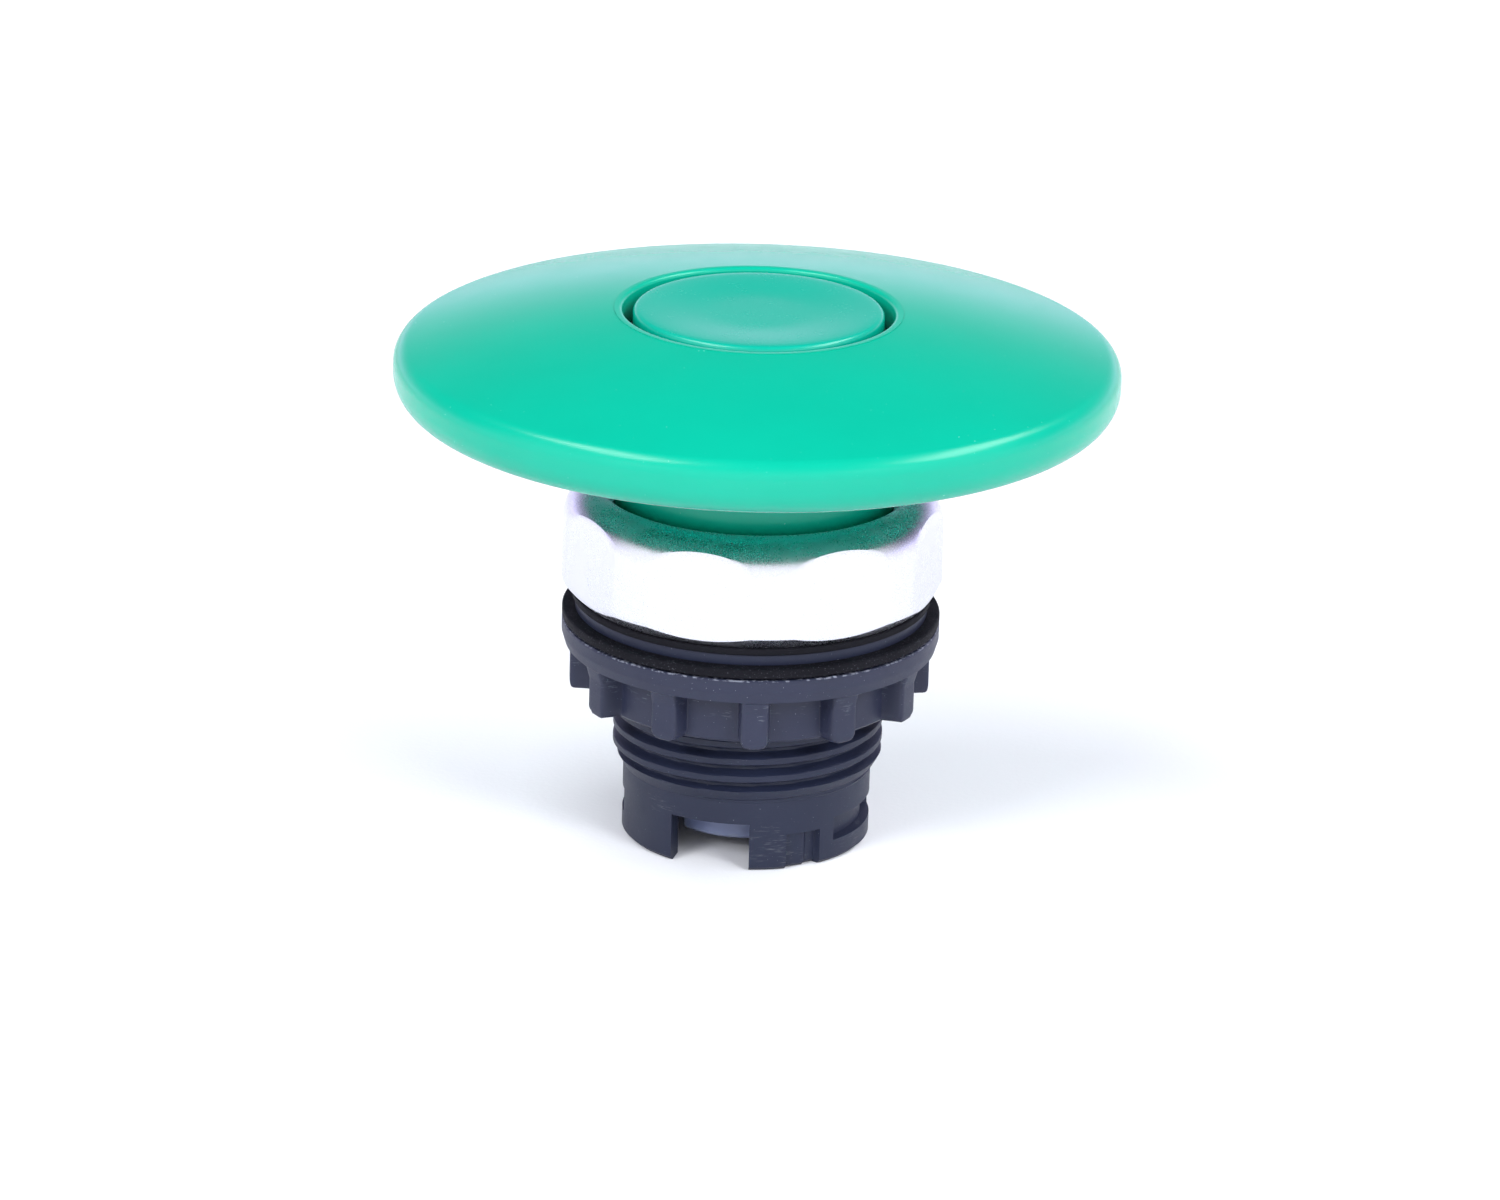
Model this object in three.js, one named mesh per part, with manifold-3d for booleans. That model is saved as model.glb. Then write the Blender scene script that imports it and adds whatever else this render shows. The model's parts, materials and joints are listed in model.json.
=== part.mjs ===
// An industrial push button for a 22 mm panel hole, with a 60 mm mushroom head.
//
// Millimetres, +Z up along the push axis. The origin is on that axis at the rear face of the
// barrel, so the button stands on its rear face with the mushroom head on top.
// A bearing is an angle around the axis in degrees: 0 is the front (-Y) and 90 the right (+X).

import * as THREE from 'three';
import { mergeVertices } from 'three/addons/utils/BufferGeometryUtils.js';
import Module from 'manifold-3d';

const wasm = await Module();
wasm.setup();

// ---------------------------------------------------------------- driving dimensions

const PUSH_TRAVEL = 4.5;
const RUNNING_GAP = 0.3; // clearance that moving or cut neighbours keep

// heights of the stack, from the rear face up
const THREAD_START = 6.0; // where the thread begins to grow out of the barrel
const THREAD_FULL = 7.5; // where it has its whole height
const NUT_BOTTOM = 12.2;
const NUT_TOP = 18.45;
const GASKET_BOTTOM = 18.6;
const FLANGE_BOTTOM = 19.45;
const FLANGE_TOP = 20.35;
const BEZEL_BOTTOM = 20.9;
const COLLAR_TOP = 25.4;
const CLAMP_RING_TOP = 25.9;
const BEZEL_CEILING = 26.8;
const BEZEL_TOP = 29.9;
const HUB_FLOOR_BOTTOM = 39.8;
const HUB_FLOOR_TOP = 42.0;
const CAP_TOP = 44.94;

// thread of the barrel: M22 x 1.5, right-handed
const PITCH = 1.5;
const ROOT_RADIUS = 10.25;
const CREST_RADIUS = 11.1;
const CREST_FLAT = 0.4;
const FLANK = 0.4; // length of each flank along the axis
const CREST_HEIGHT_RIGHT = 1.19; // height of a crest's middle at bearing 90, less whole pitches

// operator housing
const BARREL_RADIUS = 10.2;
const BARREL_CHAMFER = 0.3;
const FLANGE_RADIUS = 14.45;
const COLLAR_RADIUS = 13.2;
const COLLAR_BORE = 11.9;
const BARREL_BORE = 8.4;
const GUIDE_BORE = 5.9;
const GUIDE_BOTTOM = 7.0;
const GUIDE_TOP = 8.6;
const KEYWAY_RADIUS = 9.5;
const KEYWAY_HALF_WIDTH = 1.8;
const NOTCH_BEARING = -17;
const NOTCH_WIDTH = 6.7;
const NOTCH_HEIGHT = 4.05;
const BAYONET_BEARING = 73;
const BAYONET_HALF_SPAN = 27;
const BAYONET_BOTTOM = 1.8;
const BAYONET_TOP = 3.7;
const BAYONET_FLOOR_RADIUS = 9.45;

// bezel
const BEZEL_ACROSS_FLATS = 30.0;
const BEZEL_CORNER_RADIUS = 15.6;
const BEZEL_CORNER_BEARING = 6.4;
const BEZEL_SHOULDER = 2.9;
const BEZEL_HOLE = 11.75;
const BEZEL_COUNTERBORE = 13.5;

// lock nut
const NUT_RIBS = 12;
const NUT_RIB_BEARING = 2.2;
const NUT_RIB_WIDTH = 2.7;
const NUT_FLANGE_RADIUS = 15.5;
const NUT_RIB_RADIUS = 14.9;
const NUT_ROOT_RADIUS = 13.0;

// mushroom cap
const CAP_RADIUS = 29.6;
const CAP_RIM_LOWER_ROUND = 2.4;
const CAP_RIM_UPPER_ROUND = 1.6;
const CAP_RIM_BOTTOM = 37.0;
const CAP_WALL = 2.2;
const POCKET_RADIUS = 11.06;
const NECK_RADIUS = 11.45;
const NECK_BORE = 9.9;
const NECK_BOTTOM = 25.2;
const CAP_RIBS = 8;

// centre disc
const DISC_RADIUS = 10.22;
const DISC_PLATE_BOTTOM = 43.7;
const DISC_SKIRT_BOTTOM = 42.5;
const DISC_SKIRT_BORE = 9.2;

// plunger and foot
const STEM_RADIUS = 5.0;
const LOWER_STEM_RADIUS = 5.5;
const HEAD_RADIUS = 8.0;
const HEAD_BOTTOM = 18.4;
const HEAD_TOP = 19.6;
const FOOT_RADIUS = 6.8;
const FOOT_LEG_BORE = 5.2;
const FOOT_LEG_HALF_SPAN = 30;
const FOOT_BOTTOM = 1.5;
const FOOT_HUB_BOTTOM = 5.0;

// screws and their holes
const SCREW_RADIUS = 1.4;
const SCREW_HOLE = 1.7;
const INSERT_RADIUS = 2.4;
const INSERT_BOTTOM = 33.8;

// return spring
const SPRING_WIRE = 0.7;
const SPRING_RADIUS = 7.0;
const SPRING_END_PITCH = 0.75;
const SPRING_ACTIVE_TURNS = 4;

// facets around the axis, and half the facets of each arc of an outline
const AROUND = 36;
const AROUND_THREAD = 32;
const AROUND_SMALL = 16;
const ARC_STEPS = 2;

const UP = new THREE.Vector3(0, 0, 1);

// ---------------------------------------------------------------- from geometry to solids

function solidOf(geometry) {
  // A closed solid of a three.js geometry, with its faces pointing out.
  const bare = geometry.clone();
  bare.deleteAttribute('normal');
  bare.deleteAttribute('uv');
  const merged = mergeVertices(bare, 1e-4);
  const index = merged.index.array;
  const corners = [];
  for (let i = 0; i < index.length; i += 3) {
    const [a, b, c] = [index[i], index[i + 1], index[i + 2]];
    if (a !== b && b !== c && c !== a) corners.push(a, b, c);
  }
  const mesh = {
    numProp: 3,
    vertProperties: new Float32Array(merged.attributes.position.array),
    triVerts: new Uint32Array(corners),
  };
  if (signedVolume(mesh) < 0) mesh.triVerts.reverse();
  return new wasm.Manifold(new wasm.Mesh(mesh));
}

function signedVolume({ vertProperties, triVerts }) {
  const corner = (i) => new THREE.Vector3().fromArray(vertProperties, 3 * triVerts[i]);
  let volume = 0;
  for (let i = 0; i < triVerts.length; i += 3) {
    volume += corner(i).dot(corner(i + 1).cross(corner(i + 2))) / 6;
  }
  return volume;
}

function geometryOf(solid) {
  const mesh = solid.getMesh();
  const geometry = new THREE.BufferGeometry();
  geometry.setAttribute('position', new THREE.BufferAttribute(mesh.vertProperties, 3));
  geometry.setIndex(new THREE.BufferAttribute(mesh.triVerts, 1));
  geometry.computeVertexNormals();
  return geometry;
}

function join(first, ...others) {
  return others.reduce((whole, piece) => whole.add(piece), first);
}

function cut(body, ...tools) {
  return tools.reduce((rest, tool) => rest.subtract(tool), body);
}

// ---------------------------------------------------------------- shapes around the axis

function azimuth(bearing) {
  return THREE.MathUtils.degToRad(bearing - 90);
}

function turned(outline, around = AROUND) {
  // The outline is a path of (radius, height), turned round the push axis.
  const lathe = new THREE.LatheGeometry(outline.getPoints(ARC_STEPS), around);
  return solidOf(lathe.rotateX(Math.PI / 2));
}

function outlineOf(...points) {
  // A closed outline of straight stretches between (radius, height) points.
  const outline = new THREE.Path();
  outline.moveTo(...points[0]);
  for (const point of points.slice(1)) outline.lineTo(...point);
  outline.lineTo(...points[0]);
  return outline;
}

function ring(inner, outer, bottom, top, around = AROUND) {
  return turned(outlineOf([inner, bottom], [outer, bottom], [outer, top], [inner, top]), around);
}

function rod(radius, bottom, top, around = AROUND) {
  return turned(outlineOf([0, bottom], [radius, bottom], [radius, top], [0, top]), around);
}

function wedge(bearing, halfSpan, bottom, top) {
  // A slice like a piece of cake, wider than any part of the button.
  const reach = BEZEL_ACROSS_FLATS * 2;
  const shape = new THREE.Shape();
  shape.moveTo(0, 0);
  for (const edge of [bearing - halfSpan, bearing + halfSpan]) {
    shape.lineTo(reach * Math.cos(azimuth(edge)), reach * Math.sin(azimuth(edge)));
  }
  const block = new THREE.ExtrudeGeometry(shape, { depth: top - bottom, bevelEnabled: false });
  return solidOf(block.translate(0, 0, bottom));
}

function ringPart(inner, outer, bearing, halfSpan, bottom, top) {
  // The stretch of a ring that lies within a span of bearings.
  return ring(inner, outer, bottom, top).intersect(wedge(bearing, halfSpan, bottom - 1, top + 1));
}

function radialBar(inner, outer, width, bearing, bottom, top) {
  // A straight bar that points away from the axis at a bearing.
  const bar = new THREE.BoxGeometry(outer - inner, width, top - bottom);
  bar.translate((outer + inner) / 2, 0, (top + bottom) / 2);
  return solidOf(bar.rotateZ(azimuth(bearing)));
}

function spread(count, firstBearing, make) {
  // Joins copies of one piece at equal steps around the axis.
  const pieces = [];
  for (let i = 0; i < count; i += 1) pieces.push(make(firstBearing + (360 * i) / count));
  return join(...pieces);
}

// ---------------------------------------------------------------- the M22 thread

function threadRod(bottom, top, grow = 0) {
  // A rod with a right-hand thread that reaches past bottom and top, where the caller trims it.
  // Each column of points is the same thread section, lifted by its share of one pitch, so the
  // last column meets the first one a whole pitch higher up.
  const halfCrest = CREST_FLAT / 2;
  const section = [
    [-halfCrest, CREST_RADIUS],
    [halfCrest, CREST_RADIUS],
    [halfCrest + FLANK, ROOT_RADIUS],
    [PITCH - halfCrest - FLANK, ROOT_RADIUS],
  ];
  const perPitch = section.length;
  const firstPitch = Math.floor(bottom / PITCH) - 2;
  const rows = perPitch * (Math.ceil((top - bottom) / PITCH) + 4) + 1;
  const points = [];
  for (let column = 0; column <= AROUND_THREAD; column += 1) {
    const turn = column / AROUND_THREAD;
    for (let row = 0; row < rows; row += 1) {
      const [height, radius] = section[row % perPitch];
      const lift = PITCH * (firstPitch + Math.floor(row / perPitch) + turn);
      const point = new THREE.Vector3(radius + grow, 0, CREST_HEIGHT_RIGHT + height + lift);
      points.push(point.applyAxisAngle(UP, 2 * Math.PI * turn));
    }
  }
  const at = (column, row) => column * rows + row;
  const faces = [];
  for (let column = 0; column < AROUND_THREAD; column += 1) {
    for (let row = 0; row < rows - 1; row += 1) {
      const [a, b] = [at(column, row), at(column + 1, row)];
      faces.push(a, b, b + 1, a, b + 1, a + 1);
    }
  }
  const lowEdge = [];
  const highEdge = [];
  for (let column = 0; column <= AROUND_THREAD; column += 1) {
    lowEdge.push(at(column, 0));
    highEdge.unshift(at(column, rows - 1));
  }
  for (let row = perPitch; row >= 0; row -= 1) {
    lowEdge.push(at(0, row));
    highEdge.unshift(at(AROUND_THREAD, rows - 1 - (perPitch - row)));
  }
  for (const edge of [lowEdge, highEdge]) {
    const centre = points.push(new THREE.Vector3(0, 0, points[edge[0]].z)) - 1;
    for (let i = 0; i + 1 < edge.length; i += 1) faces.push(edge[i + 1], edge[i], centre);
  }
  const geometry = new THREE.BufferGeometry().setFromPoints(points);
  geometry.setIndex(faces);
  return solidOf(geometry);
}

// ---------------------------------------------------------------- the fixed pieces

function operatorHousing() {
  // The threaded barrel, its panel flange and the collar that the bezel fits over.
  const runOutSlope = (CREST_RADIUS - ROOT_RADIUS) / (THREAD_FULL - THREAD_START);
  const outside = CREST_RADIUS + 1;
  const runOutEnd = THREAD_START + (outside - ROOT_RADIUS) / runOutSlope;
  const threadTop = (FLANGE_BOTTOM + FLANGE_TOP) / 2;
  const envelope = outlineOf(
    [0, 0],
    [BARREL_RADIUS - BARREL_CHAMFER, 0],
    [BARREL_RADIUS, BARREL_CHAMFER],
    [BARREL_RADIUS, THREAD_START],
    [outside, runOutEnd],
    [outside, threadTop],
    [0, threadTop],
  );
  const barrel = threadRod(0, FLANGE_TOP).intersect(turned(envelope, AROUND_THREAD));
  const flangeAndCollar = outlineOf(
    [0, NUT_BOTTOM],
    [BARREL_BORE + 1, NUT_BOTTOM],
    [BARREL_BORE + 1, FLANGE_BOTTOM],
    [FLANGE_RADIUS, FLANGE_BOTTOM],
    [FLANGE_RADIUS, FLANGE_TOP],
    [COLLAR_RADIUS, FLANGE_TOP],
    [COLLAR_RADIUS, COLLAR_TOP],
    [0, COLLAR_TOP],
  );
  const bore = outlineOf(
    [0, -1],
    [BARREL_BORE, -1],
    [BARREL_BORE, GUIDE_BOTTOM],
    [GUIDE_BORE, GUIDE_BOTTOM],
    [GUIDE_BORE, GUIDE_TOP],
    [BARREL_BORE, GUIDE_TOP],
    [BARREL_BORE, FLANGE_TOP],
    [COLLAR_BORE, FLANGE_TOP],
    [COLLAR_BORE, COLLAR_TOP + 1],
    [0, COLLAR_TOP + 1],
  );
  const keywayFloor = HEAD_BOTTOM - PUSH_TRAVEL - RUNNING_GAP;
  const keyways = spread(2, BAYONET_BEARING, (bearing) =>
    radialBar(0, KEYWAY_RADIUS, 2 * KEYWAY_HALF_WIDTH, bearing, keywayFloor, FLANGE_TOP + 1),
  );
  const notches = spread(2, NOTCH_BEARING, (bearing) =>
    radialBar(STEM_RADIUS, CREST_RADIUS + 1, NOTCH_WIDTH, bearing, -1, NOTCH_HEIGHT),
  );
  return cut(
    join(barrel, turned(flangeAndCollar)),
    turned(bore),
    keyways,
    notches,
    bayonetSlots(),
    steppedRecesses(),
  );
}

function bayonetSlots() {
  // Two short grooves around the barrel that the contact block's holder locks into.
  return spread(2, BAYONET_BEARING, (bearing) =>
    ringPart(
      BAYONET_FLOOR_RADIUS,
      CREST_RADIUS + 1,
      bearing,
      BAYONET_HALF_SPAN,
      BAYONET_BOTTOM,
      BAYONET_TOP,
    ),
  );
}

function steppedRecesses() {
  // Two shallow entries beside the grooves, each with a deeper half towards its groove.
  const top = 3.0;
  const shallow = { bearing: 24.9, halfSpan: 4.9, floor: BARREL_RADIUS - 0.35 };
  const deep = { bearing: 33.2, halfSpan: 3.4, floor: BARREL_RADIUS - 0.6 };
  const steps = [shallow, deep].map(({ bearing, halfSpan, floor }) =>
    spread(2, bearing, (here) => ringPart(floor, CREST_RADIUS + 1, here, halfSpan, -1, top)),
  );
  return join(...steps);
}

function bezel() {
  // An octagonal metal ring whose corners and top edge are turned round.
  const height = BEZEL_TOP - BEZEL_BOTTOM;
  const cornerRadius = BEZEL_ACROSS_FLATS / 2 / Math.cos(Math.PI / 8);
  const prism = new THREE.CylinderGeometry(cornerRadius, cornerRadius, height + 2, 8);
  prism.rotateX(Math.PI / 2);
  prism.rotateZ(THREE.MathUtils.degToRad(BEZEL_CORNER_BEARING));
  prism.translate(0, 0, (BEZEL_TOP + BEZEL_BOTTOM) / 2);
  const chamferWidth = 1.2;
  const chamferHeight = 1.1;
  const shoulderCentre = BEZEL_CORNER_RADIUS - BEZEL_SHOULDER;
  const section = new THREE.Path();
  section.moveTo(BEZEL_COUNTERBORE, BEZEL_BOTTOM);
  section.lineTo(BEZEL_CORNER_RADIUS - chamferWidth, BEZEL_BOTTOM);
  section.lineTo(BEZEL_CORNER_RADIUS, BEZEL_BOTTOM + chamferHeight);
  section.absarc(shoulderCentre, BEZEL_TOP - BEZEL_SHOULDER, BEZEL_SHOULDER, 0, Math.PI / 2);
  section.lineTo(BEZEL_HOLE, BEZEL_TOP);
  section.lineTo(BEZEL_HOLE, BEZEL_CEILING);
  section.lineTo(BEZEL_COUNTERBORE, BEZEL_CEILING);
  section.lineTo(BEZEL_COUNTERBORE, BEZEL_BOTTOM);
  return turned(section).intersect(solidOf(prism));
}

function bezelSeal() {
  return ring(COLLAR_RADIUS + 0.1, 14.7, FLANGE_TOP, BEZEL_BOTTOM);
}

function sealClampRing() {
  return ring(COLLAR_BORE - 0.1, COLLAR_RADIUS, COLLAR_TOP, CLAMP_RING_TOP);
}

function wiperSeal() {
  // A rubber ring whose lip leans in and up against the neck of the mushroom cap.
  const lip = NECK_RADIUS + 0.15;
  return turned(
    outlineOf(
      [lip + 0.6, CLAMP_RING_TOP],
      [COLLAR_RADIUS + 0.1, CLAMP_RING_TOP],
      [COLLAR_RADIUS + 0.1, BEZEL_CEILING],
      [lip + 0.8, BEZEL_CEILING],
      [lip, BEZEL_CEILING - 0.2],
      [lip, BEZEL_CEILING - 0.45],
    ),
  );
}

class SpringPath extends THREE.Curve {
  // The centre line of the return spring: one close-wound turn at each end, open turns between.
  getPoint(share, target = new THREE.Vector3()) {
    const turns = SPRING_ACTIVE_TURNS + 2;
    const bottom = GUIDE_TOP + SPRING_WIRE / 2;
    const top = HEAD_BOTTOM - SPRING_WIRE / 2;
    const openPitch = (top - bottom - 2 * SPRING_END_PITCH) / SPRING_ACTIVE_TURNS;
    const turn = share * turns;
    const closed = Math.min(turn, 1) + Math.max(turn - turns + 1, 0);
    const height = bottom + SPRING_END_PITCH * closed + openPitch * (turn - closed);
    target.set(SPRING_RADIUS, 0, height);
    return target.applyAxisAngle(UP, 2 * Math.PI * turn);
  }
}

function returnSpring() {
  const wire = new THREE.Shape();
  wire.absarc(0, 0, SPRING_WIRE / 2, 0, 2 * Math.PI);
  const stepsPerTurn = 14;
  const coil = new THREE.ExtrudeGeometry(wire, {
    steps: stepsPerTurn * (SPRING_ACTIVE_TURNS + 2),
    curveSegments: 3,
    extrudePath: new SpringPath(),
  });
  return solidOf(coil);
}

// ---------------------------------------------------------------- the panel clamp

function panelGasket() {
  return ring(CREST_RADIUS + 0.25, NUT_FLANGE_RADIUS, GASKET_BOTTOM, FLANGE_BOTTOM);
}

function lockNut() {
  // A threaded ring with a flange at the top and finger ribs below it. The side of the flange
  // leans in towards the ribs, and they carry on its slope until they have their own radius.
  const taperTop = NUT_TOP - 1.1;
  const taperBottom = NUT_TOP - 3.1;
  const flangeBottom = NUT_TOP - 2.05;
  const ribEndChamfer = 0.5;
  const envelope = outlineOf(
    [0, NUT_BOTTOM],
    [NUT_RIB_RADIUS - ribEndChamfer, NUT_BOTTOM],
    [NUT_RIB_RADIUS, NUT_BOTTOM + ribEndChamfer],
    [NUT_RIB_RADIUS, taperBottom],
    [NUT_FLANGE_RADIUS, taperTop],
    [NUT_FLANGE_RADIUS, NUT_TOP],
    [0, NUT_TOP],
  );
  const core = join(
    rod(NUT_ROOT_RADIUS, NUT_BOTTOM - 1, NUT_TOP),
    rod(NUT_FLANGE_RADIUS + 1, flangeBottom, NUT_TOP + 1),
  );
  const ribs = spread(NUT_RIBS, NUT_RIB_BEARING, (bearing) =>
    radialBar(
      NUT_ROOT_RADIUS - 0.5,
      NUT_FLANGE_RADIUS + 1,
      NUT_RIB_WIDTH,
      bearing,
      NUT_BOTTOM - 1,
      (flangeBottom + NUT_TOP) / 2,
    ),
  );
  const body = turned(envelope).intersect(join(core, ribs));
  return cut(body, threadRod(NUT_BOTTOM, NUT_TOP, RUNNING_GAP));
}

// ---------------------------------------------------------------- the moving pieces

// The dome is an arc around a point on the axis that runs into the rounded rim. The rim is a
// wide arc below a short upright wall and a narrower arc above it, which touches the dome.
const DOME_RADIUS = 107;
const DOME_CENTRE = CAP_TOP - Math.sqrt(DOME_RADIUS ** 2 - POCKET_RADIUS ** 2);
const RIM_LOWER_RADIUS = CAP_RADIUS - CAP_RIM_LOWER_ROUND;
const RIM_LOWER_HEIGHT = CAP_RIM_BOTTOM + CAP_RIM_LOWER_ROUND;
const RIM_UPPER_RADIUS = CAP_RADIUS - CAP_RIM_UPPER_ROUND;
const RIM_CONTACT = Math.acos(RIM_UPPER_RADIUS / (DOME_RADIUS - CAP_RIM_UPPER_ROUND));
const RIM_UPPER_HEIGHT = DOME_CENTRE + RIM_UPPER_RADIUS * Math.tan(RIM_CONTACT);

function domeAngle(radius, domeRadius) {
  return Math.acos(radius / domeRadius);
}

function mushroomCap() {
  // A domed shell with a rounded rim, a pocket for the centre disc and a long hollow neck.
  const inner = DOME_RADIUS - CAP_WALL;
  const innerFrom = NECK_RADIUS + 0.85;
  const innerTo = RIM_LOWER_RADIUS - CAP_RIM_LOWER_ROUND;
  const rimBore = RIM_LOWER_RADIUS - 0.2;
  const section = new THREE.Path();
  section.moveTo(NECK_BORE, NECK_BOTTOM);
  section.lineTo(NECK_RADIUS, NECK_BOTTOM);
  section.lineTo(NECK_RADIUS, HUB_FLOOR_TOP - 0.8);
  section.absarc(0, DOME_CENTRE, inner, domeAngle(innerFrom, inner), domeAngle(innerTo, inner), true);
  section.lineTo(rimBore, RIM_LOWER_HEIGHT - 1);
  section.lineTo(rimBore, CAP_RIM_BOTTOM);
  section.absarc(RIM_LOWER_RADIUS, RIM_LOWER_HEIGHT, CAP_RIM_LOWER_ROUND, -Math.PI / 2, 0);
  section.absarc(RIM_UPPER_RADIUS, RIM_UPPER_HEIGHT, CAP_RIM_UPPER_ROUND, 0, RIM_CONTACT);
  section.absarc(0, DOME_CENTRE, DOME_RADIUS, RIM_CONTACT, domeAngle(POCKET_RADIUS, DOME_RADIUS));
  section.lineTo(POCKET_RADIUS, HUB_FLOOR_TOP);
  section.lineTo(SCREW_HOLE, HUB_FLOOR_TOP);
  section.lineTo(SCREW_HOLE, HUB_FLOOR_BOTTOM);
  section.lineTo(NECK_BORE, HUB_FLOOR_BOTTOM);
  section.lineTo(NECK_BORE, NECK_BOTTOM);
  return join(turned(section), capRibs());
}

function capRibs() {
  // Radial ribs under the shell. Their tops follow the dome, buried in half of its wall.
  const bottom = RIM_LOWER_HEIGHT - 1.2;
  const middle = DOME_RADIUS - CAP_WALL / 2;
  const from = NECK_RADIUS - 0.3;
  const to = RIM_LOWER_RADIUS + 0.2;
  const underDome = new THREE.Path();
  underDome.moveTo(from, bottom);
  underDome.lineTo(to, bottom);
  underDome.absarc(0, DOME_CENTRE, middle, domeAngle(to, middle), domeAngle(from, middle));
  underDome.lineTo(from, bottom);
  const ribWidth = 1.4;
  const bars = spread(CAP_RIBS, 180 / CAP_RIBS, (bearing) =>
    radialBar(from - 1, to + 1, ribWidth, bearing, bottom - 1, CAP_TOP),
  );
  return turned(underDome).intersect(bars);
}

function centreDisc() {
  // A shallow cup, open below, that closes the pocket over the cap screw.
  const edge = 0.4;
  const dish = 0.12;
  const section = new THREE.Path();
  section.moveTo(0, DISC_PLATE_BOTTOM);
  section.lineTo(DISC_SKIRT_BORE, DISC_PLATE_BOTTOM);
  section.lineTo(DISC_SKIRT_BORE, DISC_SKIRT_BOTTOM);
  section.lineTo(DISC_RADIUS, DISC_SKIRT_BOTTOM);
  section.absarc(DISC_RADIUS - edge, CAP_TOP - edge, edge, 0, Math.PI / 2);
  section.lineTo(0, CAP_TOP - dish);
  return turned(section);
}

function discSeal() {
  return ring(DISC_SKIRT_BORE, POCKET_RADIUS - 0.1, HUB_FLOOR_TOP, DISC_SKIRT_BOTTOM);
}

function screw({ headRadius, headHeight, length }) {
  // Head up, with the seat of the head at the origin and a cross recess in its top.
  const recessDepth = 0.6;
  const recessWidth = 0.7;
  const rounding = 0.3;
  const outline = outlineOf(
    [0, -length],
    [SCREW_RADIUS - 0.4, -length],
    [SCREW_RADIUS, -length + 0.4],
    [SCREW_RADIUS, 0],
    [headRadius, 0],
    [headRadius, headHeight - rounding],
    [headRadius - rounding, headHeight],
    [0, headHeight],
  );
  const reach = headRadius / 2;
  const slots = [0, 90].map((bearing) =>
    radialBar(-reach, reach, recessWidth, bearing, headHeight - recessDepth, headHeight + 1),
  );
  return cut(turned(outline, AROUND_SMALL), ...slots);
}

const CAP_SCREW_SEAT = HUB_FLOOR_TOP + 0.4;

function capWasher() {
  return ring(SCREW_HOLE, 3.2, HUB_FLOOR_TOP, CAP_SCREW_SEAT, AROUND_SMALL);
}

function threadedInsert() {
  return ring(SCREW_RADIUS + 0.05, INSERT_RADIUS, INSERT_BOTTOM, HUB_FLOOR_BOTTOM, AROUND_SMALL);
}

function plunger() {
  // The stem that carries the cap, with a head for the spring and two lugs against turning.
  const overlap = (HEAD_TOP - HEAD_BOTTOM) / 2;
  const fins = spread(4, BAYONET_BEARING, (bearing) =>
    radialBar(STEM_RADIUS - 1, NECK_BORE - 0.4, 1.6, bearing, NECK_BOTTOM + 1.3, HUB_FLOOR_BOTTOM),
  );
  const lugRadius = KEYWAY_RADIUS - RUNNING_GAP;
  const lugWidth = 2 * (KEYWAY_HALF_WIDTH - RUNNING_GAP);
  const lugs = spread(2, BAYONET_BEARING, (bearing) =>
    radialBar(STEM_RADIUS, lugRadius, lugWidth, bearing, HEAD_BOTTOM, HEAD_TOP),
  );
  const body = join(
    rod(LOWER_STEM_RADIUS, GUIDE_BOTTOM, HEAD_BOTTOM + overlap),
    rod(HEAD_RADIUS, HEAD_BOTTOM, HEAD_TOP),
    rod(STEM_RADIUS, HEAD_TOP - overlap, HUB_FLOOR_BOTTOM),
    fins,
    lugs,
  );
  return cut(
    body,
    rod(INSERT_RADIUS + 0.05, INSERT_BOTTOM, HUB_FLOOR_BOTTOM + 1, AROUND_SMALL),
    rod(SCREW_HOLE, INSERT_BOTTOM - 4, INSERT_BOTTOM + 1, AROUND_SMALL),
    rod(SCREW_HOLE, GUIDE_BOTTOM - 1, GUIDE_BOTTOM + 8, AROUND_SMALL),
  );
}

function pusherFoot() {
  // The round foot that works the contact block with two curved legs.
  const hub = ring(SCREW_HOLE, FOOT_RADIUS, FOOT_HUB_BOTTOM, GUIDE_BOTTOM);
  const legs = spread(2, NOTCH_BEARING, (bearing) =>
    ringPart(
      FOOT_LEG_BORE,
      FOOT_RADIUS,
      bearing,
      FOOT_LEG_HALF_SPAN,
      FOOT_BOTTOM,
      FOOT_HUB_BOTTOM + 0.5,
    ),
  );
  return join(hub, legs);
}

// ---------------------------------------------------------------- materials

function finish(colour, roughness, metalness = 0) {
  return new THREE.MeshStandardMaterial({ color: colour, roughness, metalness });
}

const greenPlastic = () => finish(0x00c5a8, 0.3);
const darkPlastic = () => finish(0x454c5f, 0.45);
const blackRubber = () => finish(0x1c1b1f, 0.85);
const plainSteel = () => finish(0xb8bcc4, 0.35, 1);

// ---------------------------------------------------------------- the assembly

function piece(name, solid, material) {
  const mesh = new THREE.Mesh(geometryOf(solid), material);
  mesh.name = name;
  return mesh;
}

function fixedPart() {
  const group = new THREE.Group();
  group.add(
    piece('operator_housing', operatorHousing(), darkPlastic()),
    piece('bezel_seal', bezelSeal(), blackRubber()),
    piece('bezel', bezel(), finish(0xe4e6f2, 0.25, 1)),
    piece('seal_clamp_ring', sealClampRing(), darkPlastic()),
    piece('wiper_seal', wiperSeal(), blackRubber()),
    piece('return_spring', returnSpring(), plainSteel()),
  );
  return group;
}

function panelClamp() {
  const group = new THREE.Group();
  group.add(
    piece('panel_gasket', panelGasket(), blackRubber()),
    piece('lock_nut', lockNut(), finish(0x4b4f64, 0.5)),
  );
  return group;
}

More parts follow.
